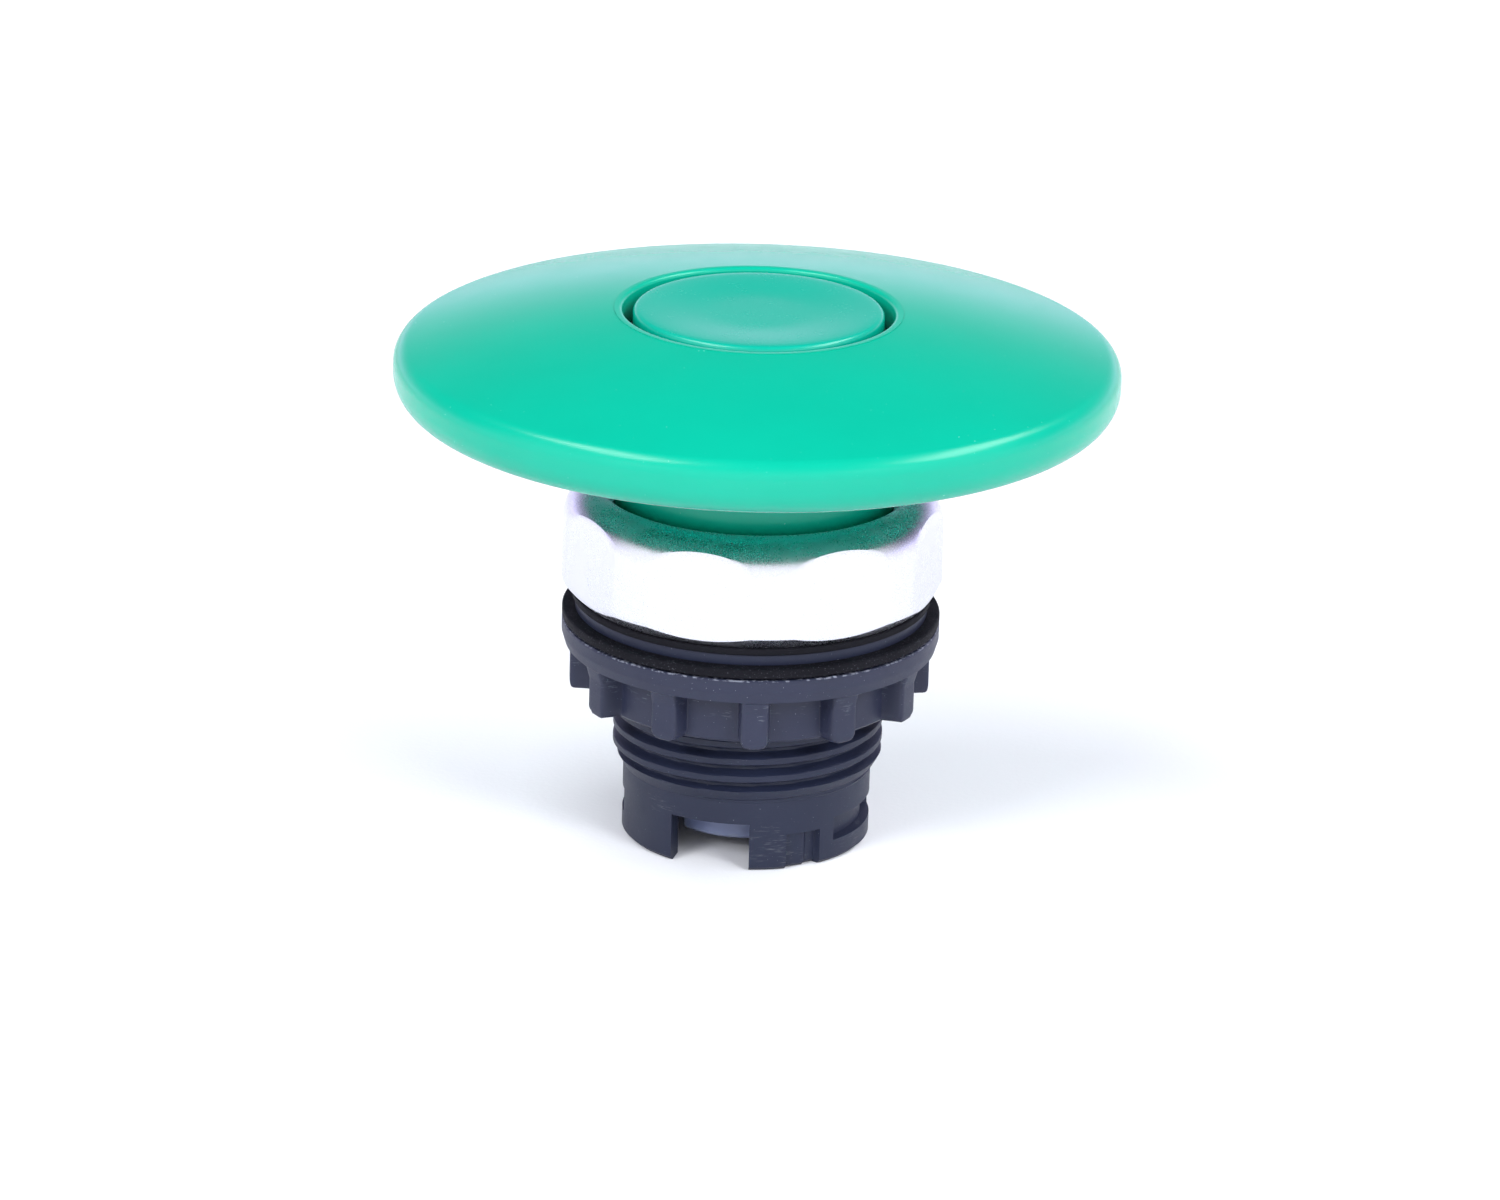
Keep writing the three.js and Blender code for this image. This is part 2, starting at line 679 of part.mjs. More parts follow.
function movingPart() {
  const capScrew = piece(
    'cap_screw',
    screw({ headRadius: 2.7, headHeight: 1.1, length: 10 }),
    plainSteel(),
  );
  capScrew.position.z = CAP_SCREW_SEAT;
  const footScrew = piece(
    'foot_screw',
    screw({ headRadius: 2.4, headHeight: 1.1, length: 8 }),
    plainSteel(),
  );
  footScrew.rotation.x = Math.PI;
  footScrew.position.z = FOOT_HUB_BOTTOM;
  const group = new THREE.Group();
  group.add(
    piece('mushroom_cap', mushroomCap(), greenPlastic()),
    piece('centre_disc', centreDisc(), greenPlastic()),
    piece('disc_seal', discSeal(), finish(0x8b9396, 0.7)),
    capScrew,
    piece('cap_washer', capWasher(), plainSteel()),
    piece('plunger', plunger(), finish(0x3c4150, 0.5)),
    piece('threaded_insert', threadedInsert(), finish(0xc9a45a, 0.35, 1)),
    piece('pusher_foot', pusherFoot(), finish(0x6b7899, 0.5)),
    footScrew,
  );
  return group;
}

const pushButton = new THREE.Group();
pushButton.add(fixedPart(), panelClamp(), movingPart());

export default pushButton;
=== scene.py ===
import json
import math

import bmesh
import bpy
import numpy as np
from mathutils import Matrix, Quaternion, Vector


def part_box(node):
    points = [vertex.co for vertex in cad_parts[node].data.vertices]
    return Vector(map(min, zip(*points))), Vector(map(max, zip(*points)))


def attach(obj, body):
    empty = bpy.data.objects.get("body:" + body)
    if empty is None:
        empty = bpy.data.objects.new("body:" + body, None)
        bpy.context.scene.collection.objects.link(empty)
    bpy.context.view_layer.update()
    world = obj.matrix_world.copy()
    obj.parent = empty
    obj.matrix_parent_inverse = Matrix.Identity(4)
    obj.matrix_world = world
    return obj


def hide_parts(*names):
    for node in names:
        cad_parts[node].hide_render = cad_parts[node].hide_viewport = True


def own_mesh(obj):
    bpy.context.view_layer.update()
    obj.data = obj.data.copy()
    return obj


# The looks of an industrial push button with a mushroom head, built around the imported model.
# Outlines are in millimetres, as (radius, height) pairs round the push axis, and become
# metres when a mesh is made. A bearing is an angle round the axis in degrees: 0 is the
# front (-Y) and 90 the right (+X).

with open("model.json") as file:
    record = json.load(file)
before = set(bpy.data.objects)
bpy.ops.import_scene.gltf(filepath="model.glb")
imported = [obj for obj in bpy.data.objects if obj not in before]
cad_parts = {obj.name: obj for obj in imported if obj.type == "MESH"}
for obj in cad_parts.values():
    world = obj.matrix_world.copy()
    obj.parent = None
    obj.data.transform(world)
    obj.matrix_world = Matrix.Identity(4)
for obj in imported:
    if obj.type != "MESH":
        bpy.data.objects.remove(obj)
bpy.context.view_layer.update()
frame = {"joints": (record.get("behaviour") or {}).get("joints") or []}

MM = 0.001
AROUND = 192  # columns of a round piece


# ---------------- places, from the frame


def bottom(node):
    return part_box(node)[0].z / MM


def top(node):
    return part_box(node)[1].z / MM


def radius(node):
    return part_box(node)[1].x / MM


PUSH_TRAVEL = -min(j["range_m"][0] for j in frame["joints"] if j["name"] == "push") / MM

NUT_BOTTOM = bottom("lock_nut")
NUT_TOP = top("lock_nut")
NUT_RADIUS = radius("lock_nut")
GASKET_BOTTOM = bottom("panel_gasket")
FLANGE_BOTTOM = top("panel_gasket")
FLANGE_TOP = bottom("bezel_seal")
FLANGE_RADIUS = 14.45
COLLAR_TOP = top("operator_housing")
COLLAR_RADIUS = radius("seal_clamp_ring")
COLLAR_BORE = 11.9
BEZEL_BOTTOM = bottom("bezel")
BEZEL_TOP = top("bezel")
BEZEL_CEILING = top("wiper_seal")
CAP_TOP = top("mushroom_cap")
CAP_BOTTOM = bottom("mushroom_cap")
CAP_RADIUS = radius("mushroom_cap")
HUB_FLOOR_BOTTOM = top("threaded_insert")
HUB_FLOOR_TOP = bottom("disc_seal")
DISC_RADIUS = radius("centre_disc")
GUIDE_BOTTOM = top("pusher_foot")
SPRING_BOTTOM = bottom("return_spring")
SPRING_TOP = top("return_spring")
FOOT_RADIUS = radius("pusher_foot")
FOOT_BOTTOM = bottom("pusher_foot")

# thread
PITCH = 1.5
ROOT_RADIUS = 10.25
CREST_RADIUS = 11.1
CREST_HEIGHT_RIGHT = 1.19

# barrel
BARREL_RADIUS = 10.2
BARREL_BORE = 8.4
BARREL_CHAMFER = 0.3
GUIDE_BORE = 5.9
BAYONET_FLOOR = 9.45
BAYONET_MIDDLE = 2.75
BAYONET_HALF_HEIGHT = 0.95
RECESS_TOP = 3.0
LEVEL_SOFT = 0.06  # half the height over which a groove or recess steps in
RECESS_STEPS = ((24.9, 4.9, 0.35), (33.2, 3.4, 0.6))  # bearing, half span and depth
THREAD_START = 6.0
THREAD_FULL = 7.5
NOTCH_BEARING = -17
NOTCH_WIDTH = 6.7
NOTCH_HEIGHT = 4.05
BAYONET_BEARING = 73
BAYONET_HALF_SPAN = 27
KEYWAY_RADIUS = 9.5
KEYWAY_WIDTH = 3.6
KEYWAY_BOTTOM = SPRING_TOP - PUSH_TRAVEL - 0.3

# bezel
BEZEL_FLATS = 8
BEZEL_APOTHEM = 15.0
BEZEL_CORNER_RADIUS = 15.6
BEZEL_CORNER_BEARING = 6.4
BEZEL_SHOULDER = 2.9
BEZEL_CHAMFER_WIDTH = 1.2
BEZEL_CHAMFER_HEIGHT = 1.1
BEZEL_HOLE = 11.75
BEZEL_COUNTERBORE = 13.5

# lock nut
NUT_RIBS = 12
NUT_RIB_BEARING = 2.2
NUT_RIB_WIDTH = 2.7
NUT_RIB_RADIUS = 14.9
NUT_ROOT_RADIUS = 13.0
NUT_TAPER_TOP = NUT_TOP - 1.1
NUT_TAPER_BOTTOM = NUT_TOP - 3.1
NUT_FLANGE_BOTTOM = NUT_TOP - 2.05

# plunger
STEM_RADIUS = 5.0
LOWER_STEM_RADIUS = 5.5
HEAD_RADIUS = 8.0
HEAD_THICKNESS = 1.2
FIN_WIDTH = 1.6
FIN_BOTTOM = 26.5
LUG_RADIUS = 9.2
LUG_WIDTH = 3.0

# mushroom cap: its dome is an arc round a point on the axis that runs into the rounded rim
DOME_RADIUS = 107
RIM_LOWER_ROUND = 2.4
RIM_UPPER_ROUND = 1.6
RIM_BOTTOM = 37.0
RIM_INSIDE = 27.0
CAP_WALL = 2.2
CAP_RIBS = 8
CAP_RIB_WIDTH = 1.4
CAP_RIB_BOTTOM = 38.2
NECK_RADIUS = 11.45
NECK_BORE = 9.9
NECK_TOP = 38.0
POCKET_RADIUS = 11.06

# centre disc
DISC_PLATE_BOTTOM = 43.7
DISC_SKIRT_BORE = 9.2

# pusher foot
FOOT_HUB_BOTTOM = 5.0
FOOT_LEG_BORE = 5.2
FOOT_LEG_HALF_SPAN = 30

# screws, insert, washer and spring
SCREW_SIDES = 48
SCREW_RADIUS = 1.4
SCREW_HOLE = 1.7
SCREW_HEAD_HEIGHT = 1.1
CAP_SCREW = (2.7, 10)  # the head's radius and the length below it
FOOT_SCREW = (2.4, 8)
WASHER_RADIUS = 3.2
INSERT_RADIUS = 2.4
INSERT_BORE = 1.45
INSERT_BOTTOM = 33.8
SPRING_WIRE = 0.7
SPRING_RADIUS = 7.0
SPRING_TURNS = 6
SPRING_END_PITCH = 0.75

# inner radii of the seals and the gasket
BEZEL_SEAL_BORE = 13.3
GASKET_BORE = 11.35
WIPER_LIP = NECK_RADIUS + 0.15

# backdrop: stops of (height on the unit sphere, brightness) behind the button and before it
STRONGEST_LIGHT = 2.0
BACK_STOPS = ((0, 2.0), (0.09, 1.5), (0.2, 0.66), (0.34, 0.16), (0.6, 0.03), (1, 0.1))
FRONT_STOPS = ((0, 1.5), (0.4, 1.5), (0.65, 0.9), (0.85, 0.25), (1, 0.1))

# lights and camera, in metres; the lens is in millimetres
BUTTON_MIDDLE = Vector((0, 0, 0.03))
CAMERA_TARGET = Vector((-0.000085, 0, 0.01988))
CAMERA_DISTANCE = 0.695
CAMERA_ELEVATION = math.radians(19.62)
CAMERA_ROLL = math.radians(1.57)
LENS = 203.3


# ---------------- outlines


def rounded(*corners, steps=5):
    """A closed outline through corners (radius, height[, fillet]); a fillet rounds its corner."""
    points = []
    count = len(corners)
    for i, corner in enumerate(corners):
        here = np.array(corner[:2], float)
        fillet = corner[2] if len(corner) > 2 else 0.0
        if fillet == 0:
            points.append(here)
            continue
        back = np.array(corners[i - 1][:2], float) - here
        ahead = np.array(corners[(i + 1) % count][:2], float) - here
        back /= np.linalg.norm(back)
        ahead /= np.linalg.norm(ahead)
        half = math.acos(np.clip(back @ ahead, -1, 1)) / 2
        reach = fillet / math.tan(half)
        middle = back + ahead
        centre = here + middle / np.linalg.norm(middle) * fillet / math.sin(half)
        points.extend(arc_between(here + back * reach, here + ahead * reach, centre, steps))
    return np.array(points)


def arc_between(first, last, centre, steps):
    """Points of the shorter arc round a centre."""
    start = math.atan2(*(first - centre)[::-1])
    turn = math.atan2(*(last - centre)[::-1]) - start
    turn = (turn + math.pi) % (2 * math.pi) - math.pi
    size = np.linalg.norm(first - centre)
    angles = start + turn * np.linspace(0, 1, steps + 1)
    return centre + size * np.stack([np.cos(angles), np.sin(angles)], 1)


def arc(centre, size, start, end, steps):
    """Points of an arc from one angle to another, in degrees."""
    angles = np.radians(np.linspace(start, end, steps + 1))
    return np.array(centre) + size * np.stack([np.cos(angles), np.sin(angles)], 1)


def smoothstep(low, high, value):
    share = np.clip((value - low) / (high - low), 0, 1)
    return share * share * (3 - 2 * share)


def samples(low, high, step, edges=(), soft=0.0, exact=()):
    """Even samples of a range, with a close pair round each edge and a sample on each exact."""
    count = int(round((high - low) / step))
    even = np.linspace(low, high, count + 1)
    special = np.array([e + side * soft for e in edges for side in (-1, 1)] + list(exact))
    special = special[(special >= low) & (special <= high)]
    if len(special):
        gaps = np.abs(even[:, None] - special[None, :]).min(1)
        keep = gaps > max(soft, step * 0.3)
        keep[[0, -1]] = True
        keep[[0, -1]] &= gaps[[0, -1]] > 1e-9
        even = even[keep]
    return np.unique(np.round(np.concatenate([even, special]), 6))


# ---------------- meshes


def offset_from(bearings, centres):
    """The signed angle from the nearest of some centres that are spread evenly."""
    spacing = 360 / len(centres)
    return (bearings - centres[0] + spacing / 2) % spacing - spacing / 2


def straightened(columns, centres, column_half, half_width, at_radius):
    """Bearings of the columns at some radius, bent so that the columns which stand column_half
    degrees beside each centre run parallel there, half_width millimetres beside it."""
    offset = offset_from(columns, centres)
    limit = 180 / len(centres)
    edge = math.degrees(math.asin(half_width / at_radius))
    moved = np.interp(np.abs(offset), [0, column_half, limit], [0, edge, limit])
    return columns - offset + np.sign(offset) * moved


def placed(bearings, radii, heights):
    """Points in metres."""
    bearings, radii, heights = np.broadcast_arrays(bearings, radii, heights)
    angles = np.radians(bearings)
    return np.stack([radii * np.sin(angles), -radii * np.cos(angles), heights], -1) * MM


def mesh_of(name, vertices, faces, sharp=35):
    mesh = bpy.data.meshes.new(name)
    mesh.from_pydata([tuple(v) for v in vertices], [], faces)
    tidy(mesh)
    shade(mesh, sharp)
    return mesh


def tidy(mesh):
    """Merges the points that meet and drops faces and points that came to nothing."""
    bm = bmesh.new()
    bm.from_mesh(mesh)
    bmesh.ops.remove_doubles(bm, verts=bm.verts, dist=2e-7)
    bmesh.ops.dissolve_degenerate(bm, edges=bm.edges, dist=1e-8)
    loose = [v for v in bm.verts if not v.link_faces]
    bmesh.ops.delete(bm, geom=loose, context="VERTS")
    bmesh.ops.recalc_face_normals(bm, faces=bm.faces)
    bm.to_mesh(mesh)
    bm.free()


def shade(mesh, sharp):
    mesh.shade_smooth()
    mesh.set_sharp_from_angle(angle=math.radians(sharp))


def ring_solid(points, gap=()):
    """A solid of columns round the axis. points has one closed section per column, outer side
    first and upwards. gap lists (column, row) cells left out, which gap_walls walls in."""
    columns, rows = points.shape[:2]
    skipped = set(gap)
    faces = []
    for i in range(columns):
        j = (i + 1) % columns
        for a in range(rows):
            b = (a + 1) % rows
            if (i, a) not in skipped:
                faces.append((i * rows + a, j * rows + a, j * rows + b, i * rows + b))
    return points.reshape(-1, 3), faces


def turned(name, outline, around=AROUND):
    """The outline turned round the push axis."""
    bearings = np.linspace(0, 360, around, endpoint=False)
    points = placed(bearings[:, None], outline[None, :, 0], outline[None, :, 1])
    return mesh_of(name, *ring_solid(points))


def new_object(name, data):
    thing = bpy.data.objects.new(name, data)
    bpy.context.scene.collection.objects.link(thing)
    return thing


def apply_modifiers(thing):
    """Bakes the modifiers into the mesh."""
    depsgraph = bpy.context.evaluated_depsgraph_get()
    mesh = bpy.data.meshes.new_from_object(thing.evaluated_get(depsgraph))
    thing.modifiers.clear()
    thing.data = mesh


def combine(thing, other_mesh, operation, sharp=35):
    """Joins another closed mesh to a piece, or cuts it away."""
    other = new_object("tool", other_mesh)
    modifier = thing.modifiers.new("combine", "BOOLEAN")
    modifier.operation = operation
    modifier.solver = "EXACT"
    modifier.object = other
    apply_modifiers(thing)
    bpy.data.objects.remove(other)
    tidy(thing.data)
    shade(thing.data, sharp)


def bar_mesh(inner, outer, width, bearing, low, high):
    """A straight bar that points away from the axis."""
    along = Vector((math.sin(math.radians(bearing)), -math.cos(math.radians(bearing)), 0))
    across = Vector((-along.y, along.x, 0))
    vertices = []
    for height in (low, high):
        for reach, side in ((inner, -1), (outer, -1), (outer, 1), (inner, 1)):
            point = along * reach + across * side * width / 2 + Vector((0, 0, height))
            vertices.append(point * MM)
    faces = [(3, 2, 1, 0), (4, 5, 6, 7), (0, 1, 5, 4), (1, 2, 6, 5), (2, 3, 7, 6), (3, 0, 4, 7)]
    return mesh_of("bar", vertices, faces)


def finish_piece(thing, node, body, material):
    """Gives a piece its material and its body, and hides the CAD node that it stands for."""
    thing.data.materials.clear()
    thing.data.materials.append(material)
    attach(thing, body)
    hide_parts(node)
    return thing


# ---------------- materials


class Look:
    """A node-based material on one Principled shader."""

    def __init__(self, name, **constants):
        self.material = bpy.data.materials.new(name)
        self.material.use_nodes = True
        self.tree = self.material.node_tree
        self.tree.nodes.clear()
        output = self.tree.nodes.new("ShaderNodeOutputMaterial")
        self.shader = self.tree.nodes.new("ShaderNodeBsdfPrincipled")
        self.tree.links.new(self.shader.outputs["BSDF"], output.inputs["Surface"])
        for socket, value in constants.items():
            self.shader.inputs[socket.replace("_", " ")].default_value = value
        self.place = self.node("ShaderNodeTexCoord").outputs["Object"]

    def node(self, kind, inputs=None, **settings):
        made = self.tree.nodes.new(kind)
        for key, value in settings.items():
            setattr(made, key, value)
        for key, value in (inputs or {}).items():
            if isinstance(value, bpy.types.NodeSocket):
                self.tree.links.new(value, made.inputs[key])
            else:
                made.inputs[key].default_value = value
        return made

    def drive(self, socket, value):
        self.tree.links.new(value, self.shader.inputs[socket])

    def noise(self, size, detail=3.0, roughness=0.55, stretch=(1, 1, 1)):
        """Noise with features of about size millimetres."""
        scale = tuple(1 / (side * MM) for side in np.array(stretch) * size)
        place = self.node("ShaderNodeMapping", {"Vector": self.place, "Scale": scale})
        place = place.outputs["Vector"]
        inputs = {"Vector": place, "Scale": 1.0, "Detail": detail, "Roughness": roughness}
        return self.node("ShaderNodeTexNoise", inputs).outputs["Fac"]

    def spread(self, value, low, high, to_low=0.0, to_high=1.0):
        """Maps a value from one range to another and holds it at the ends."""
        limits = {"From Min": low, "From Max": high, "To Min": to_low, "To Max": to_high}
        made = self.node("ShaderNodeMapRange", {"Value": value, **limits}, clamp=True)
        return made.outputs["Result"]

    def sum(self, first, second):
        return self.node("ShaderNodeMath", {0: first, 1: second}, operation="ADD").outputs[0]

    def times(self, first, second):
        return self.node("ShaderNodeMath", {0: first, 1: second}, operation="MULTIPLY").outputs[0]

    def mix(self, factor, first, second):
        made = self.node("ShaderNodeMix", data_type="RGBA")
        for socket, value in (("Factor", factor), ("A", first), ("B", second)):
            target = next(s for s in made.inputs if s.name == socket and s.enabled)
            if isinstance(value, bpy.types.NodeSocket):
                self.tree.links.new(value, target)
            else:
                target.default_value = value if socket == "Factor" else (*value, 1.0)
        return next(s for s in made.outputs if s.enabled)

    def bump(self, height, depth, below=None):
        """A bump of depth millimetres, on top of another."""
        inputs = {"Height": height, "Distance": depth * MM, "Strength": 1.0}
        if below is not None:
            inputs["Normal"] = below
        return self.node("ShaderNodeBump", inputs).outputs["Normal"]

    def edges(self, low=0.52, high=0.6):
        """How far a point lies on an outer edge."""
        return self.spread(self.node("ShaderNodeNewGeometry").outputs["Pointiness"], low, high)


def brighter(colour, share):
    return tuple(c * (1 + share) for c in colour)


def moulded(
    name,
    colour,
    gloss,
    variation=0.06,
    grain=(0.15, 0.004),
    waviness=(6.0, 0.004),
    specks=None,
    wear=None,
    extra=None,
    **constants,
):
    """Moulded plastic or rubber: cloudy colour, a fine grain, long waves, specks and worn edges.
    gloss is the range of roughness, grain and waviness are (size, depth) in millimetres, specks
    is (size, threshold, colour) and extra adds marks of its own to the colour."""
    look = Look(name, **constants)
    cloud = look.spread(look.noise(9.0, 4.0), 0.3, 0.7)
    tint = look.mix(cloud, brighter(colour, -variation), brighter(colour, variation))
    fine = look.noise(grain[0], 3.0, 0.6)
    uneven = look.sum(look.times(fine, 0.5), look.times(look.noise(2.5), 0.5))
    roughness = look.spread(uneven, 0.35, 0.65, *gloss)
    if wear is not None:
        patchy = look.times(look.edges(), look.spread(look.noise(0.8), 0.45, 0.6))
        tint = look.mix(patchy, tint, wear)
    if specks is not None:
        size, threshold, speck_colour = specks
        dust = look.spread(look.noise(size, 1.0), threshold, threshold + 0.03)
        tint = look.mix(dust, tint, speck_colour)
    if extra is not None:
        tint = extra(look, tint)
    normal = look.bump(look.noise(waviness[0], 2.0), waviness[1])
    normal = look.bump(fine, grain[1], normal)
    look.drive("Base Color", tint)
    look.drive("Roughness", roughness)
    look.drive("Normal", normal)
    return look.material


def metal(name, colour, gloss, grain=(0.12, 0.004), tarnish=0.08):
    """Bare or plated metal with a fine grain and cloudy tarnish."""
    look = Look(name, Metallic=1.0)
    cloud = look.spread(look.noise(5.0, 4.0), 0.35, 0.65)
    look.drive("Base Color", look.mix(cloud, brighter(colour, -tarnish), colour))
    fine = look.noise(grain[0], 3.0, 0.65)
    look.drive("Roughness", look.spread(look.sum(fine, look.times(cloud, 0.3)), 0.4, 0.9, *gloss))
    normal = look.bump(look.noise(3.0, 2.0), 0.004)
    look.drive("Normal", look.bump(fine, grain[1], normal))
    return look.material


def green_plastic(name, colour, gloss, wave, speck, specular):
    """A smooth moulding with hardly any grain, long waves and a few pale specks. wave and speck
    are sizes in millimetres."""
    return moulded(
        name,
        colour,
        gloss=gloss,
        variation=0.02,
        grain=(0.25, 0.0006),
        waviness=(wave, 0.002),
        specks=(speck, 0.8, (0.2, 0.62, 0.52)),
        Specular_IOR_Level=specular,
    )


def near_height(look, height, half, soft):
    """1 within half of a height in millimetres, fading out over soft."""
    along = look.node("ShaderNodeSeparateXYZ", {0: look.place}).outputs["Z"]
    below = look.spread(along, (height - half - soft) * MM, (height - half) * MM)
    above = look.spread(along, (height + half) * MM, (height + half + soft) * MM, 1.0, 0.0)
    return look.times(below, above)


def scuffs(look, tint):
    """Fine level scratches round the smooth foot of the barrel, in a few patches."""
    scratches = look.spread(look.noise(1.0, 3.0, 0.6, (1.2, 1.2, 0.1)), 0.56, 0.66)
    patches = look.spread(look.noise(3.5, 1.0), 0.55, 0.66)
    low = near_height(look, 2.8, 2.6, 0.4)
    return look.mix(look.times(look.times(scratches, patches), low), tint, (0.05, 0.055, 0.075))


def nut_marks(look, tint):
    """Pale flash along the top edge of the nut and dusty scratches between its ribs."""
    edge = near_height(look, NUT_TOP, 0.07, 0.05)
    flash = look.times(edge, look.spread(look.noise(0.35, 2.0), 0.5, 0.62))
    dusty = look.spread(look.noise(1.0, 3.0, 0.65, (1.0, 1.0, 0.12)), 0.57, 0.68)
    patches = look.spread(look.noise(2.5, 1.0), 0.5, 0.6)
    upper = near_height(look, NUT_FLANGE_BOTTOM - 1.1, 0.6, 0.6)
    tint = look.mix(look.times(look.times(dusty, patches), upper), tint, (0.09, 0.10, 0.13))
    return look.mix(flash, tint, (0.16, 0.17, 0.22))


def housing_plastic():
    return moulded(
        "slate_housing_plastic",
        (0.0115, 0.0150, 0.034),
        gloss=(0.40, 0.52),
        variation=0.1,
        grain=(0.14, 0.004),
        waviness=(4.0, 0.006),
        specks=(0.16, 0.76, (0.09, 0.10, 0.13)),
        extra=scuffs,
        Specular_IOR_Level=0.30,
    )


def nut_plastic():
    return moulded(
        "slate_nut_plastic",
        (0.0155, 0.0187, 0.042),
        gloss=(0.42, 0.56),
        variation=0.1,
        grain=(0.16, 0.005),
        waviness=(4.0, 0.006),
        specks=(0.16, 0.75, (0.12, 0.13, 0.17)),
        extra=nut_marks,
        Specular_IOR_Level=0.36,
    )


def rubber(name, colour, specks):
    return moulded(
        name,
        colour,
        gloss=(0.6, 0.8),
        variation=0.2,
        grain=(0.1, 0.01),
        waviness=(2.5, 0.01),
        specks=specks,
        Specular_IOR_Level=0.1,
    )


# ---------------- the fixed pieces


def thread_radius(bearing, height):
    """The rounded right-hand thread: its crest is CREST_HEIGHT_RIGHT up at bearing 90."""
    crest_height = CREST_HEIGHT_RIGHT + PITCH * (bearing - 90) / 360
    away = np.abs((height - crest_height + PITCH / 2) % PITCH - PITCH / 2)
    crest_half, root_from = 0.22, 0.66
    depth = smoothstep(crest_half, root_from, away)
    return ROOT_RADIUS + (CREST_RADIUS - ROOT_RADIUS) * (1 - depth)


def barrel_radius(bearing, height):
    """The outside of the barrel below the flange: thread, run-out, grooves and recesses."""
    growth = np.clip((height - THREAD_START) / (THREAD_FULL - THREAD_START), 0, 1)
    run_out = ROOT_RADIUS + (CREST_RADIUS - ROOT_RADIUS) * growth
    outside = np.minimum(thread_radius(bearing, height), run_out)
    outside = np.where(height < THREAD_START, BARREL_RADIUS, outside)
    outside = outside - np.maximum(BARREL_CHAMFER - height, 0)
    for turn in (0, 180):
        groove = window(bearing, BAYONET_BEARING + turn, BAYONET_HALF_SPAN, 0.4)
        groove *= window(height, BAYONET_MIDDLE, BAYONET_HALF_HEIGHT, LEVEL_SOFT, wrap=False)
        outside = outside - groove * (BARREL_RADIUS - BAYONET_FLOOR)
        for middle, half, depth in RECESS_STEPS:
            entry = window(bearing, middle + turn, half, 0.25)
            entry *= window(height, 0.0, RECESS_TOP, LEVEL_SOFT, wrap=False)
            outside = outside - entry * depth
    return outside


def window(value, middle, half, soft, wrap=True):
    """1 within half of the middle and 0 outside, with a straight ramp of twice soft."""
    away = np.abs((value - middle + 180) % 360 - 180) if wrap else np.abs(value - middle)
    return np.clip((half + soft - away) / (2 * soft), 0, 1)


def barrel_columns(notches, notch_half):
    """Bearings of the columns: a close pair at each edge of a groove or recess, and one at each
    wall of a notch."""
    spans = [(BAYONET_BEARING, BAYONET_HALF_SPAN)]
    spans += [(middle, half_span) for middle, half_span, _ in RECESS_STEPS]
    edges = [m + s * half + turn for m, half in spans for s in (-1, 1) for turn in (0, 180)]
    walls = [n + s * notch_half for n in notches for s in (-1, 1)]
    first = -60  # the bearing of the first column, clear of every edge
    edges = [(e - first) % 360 + first for e in edges]
    walls = [(w - first) % 360 + first for w in walls]
    return samples(first, first + 360, 1.5, edges, 0.3, walls)[:-1]


def flange_and_bore():
    """The outline from the flange's underside, over the collar and down the stepped bore."""
    return rounded(
        (FLANGE_RADIUS, FLANGE_BOTTOM, 0.12),
        (FLANGE_RADIUS, FLANGE_TOP, 0.15),
        (COLLAR_RADIUS, FLANGE_TOP, 0.1),
        (COLLAR_RADIUS, COLLAR_TOP, 0.15),
        (COLLAR_BORE, COLLAR_TOP, 0.15),
        (COLLAR_BORE, FLANGE_TOP, 0.1),
        (BARREL_BORE, FLANGE_TOP, 0.1),
        (BARREL_BORE, SPRING_BOTTOM, 0.1),
        (GUIDE_BORE, SPRING_BOTTOM, 0.1),
        (GUIDE_BORE, GUIDE_BOTTOM, 0.1),
        (BARREL_BORE, GUIDE_BOTTOM, 0.1),
        (BARREL_BORE, NOTCH_HEIGHT + 0.3),
        steps=3,
    )


def operator_housing():
    """The barrel with its notches, the flange and the collar, as one closed section per column.
    The columns beside a notch run straight up its walls; its own cells are left out."""
    notch_half = 20.0  # half a notch's share of the columns, in degrees
    notches = (NOTCH_BEARING, NOTCH_BEARING + 180)
    columns = barrel_columns(notches, notch_half)
    levels = [BAYONET_MIDDLE + side * BAYONET_HALF_HEIGHT for side in (-1, 1)] + [RECESS_TOP]
    exact = (BARREL_CHAMFER, NOTCH_HEIGHT)
    low_rows = samples(0, NOTCH_HEIGHT, 0.3, levels, LEVEL_SOFT, exact)
    thread_rows = samples(NOTCH_HEIGHT, FLANGE_BOTTOM, 0.075)[1:]
    outside = straightened(columns, notches, notch_half, NOTCH_WIDTH / 2, BARREL_RADIUS)
    inside = straightened(columns, notches, notch_half, NOTCH_WIDTH / 2, BARREL_BORE)
    sections = []
    for height in np.concatenate([low_rows, thread_rows]):
        sections.append(placed(outside, barrel_radius(outside, height), height))
    for r, height in flange_and_bore():
        sections.append(placed(columns, r, height))
    for height in low_rows[::-1]:
        sections.append(placed(inside, BARREL_BORE, height))
    points = np.stack(sections, 1)
    count = points.shape[1]
    top_row = len(low_rows) - 1
    gap_rows = [*range(top_row), *range(count - len(low_rows), count)]
    gap_columns = columns_inside(columns, notches, notch_half)
    vertices, faces = ring_solid(points, [(i, a) for i in gap_columns for a in gap_rows])
    faces += gap_walls(len(columns), count, gap_columns, top_row)
    thing = new_object("housing_moulding", mesh_of("housing_moulding", vertices, faces, 30))
    reach = (STEM_RADIUS, KEYWAY_RADIUS, KEYWAY_WIDTH)
    for turn in (0, 180):
        keyway = bar_mesh(*reach, BAYONET_BEARING + turn, KEYWAY_BOTTOM, FLANGE_TOP + 0.5)
        combine(thing, keyway, "DIFFERENCE", 30)
    return thing


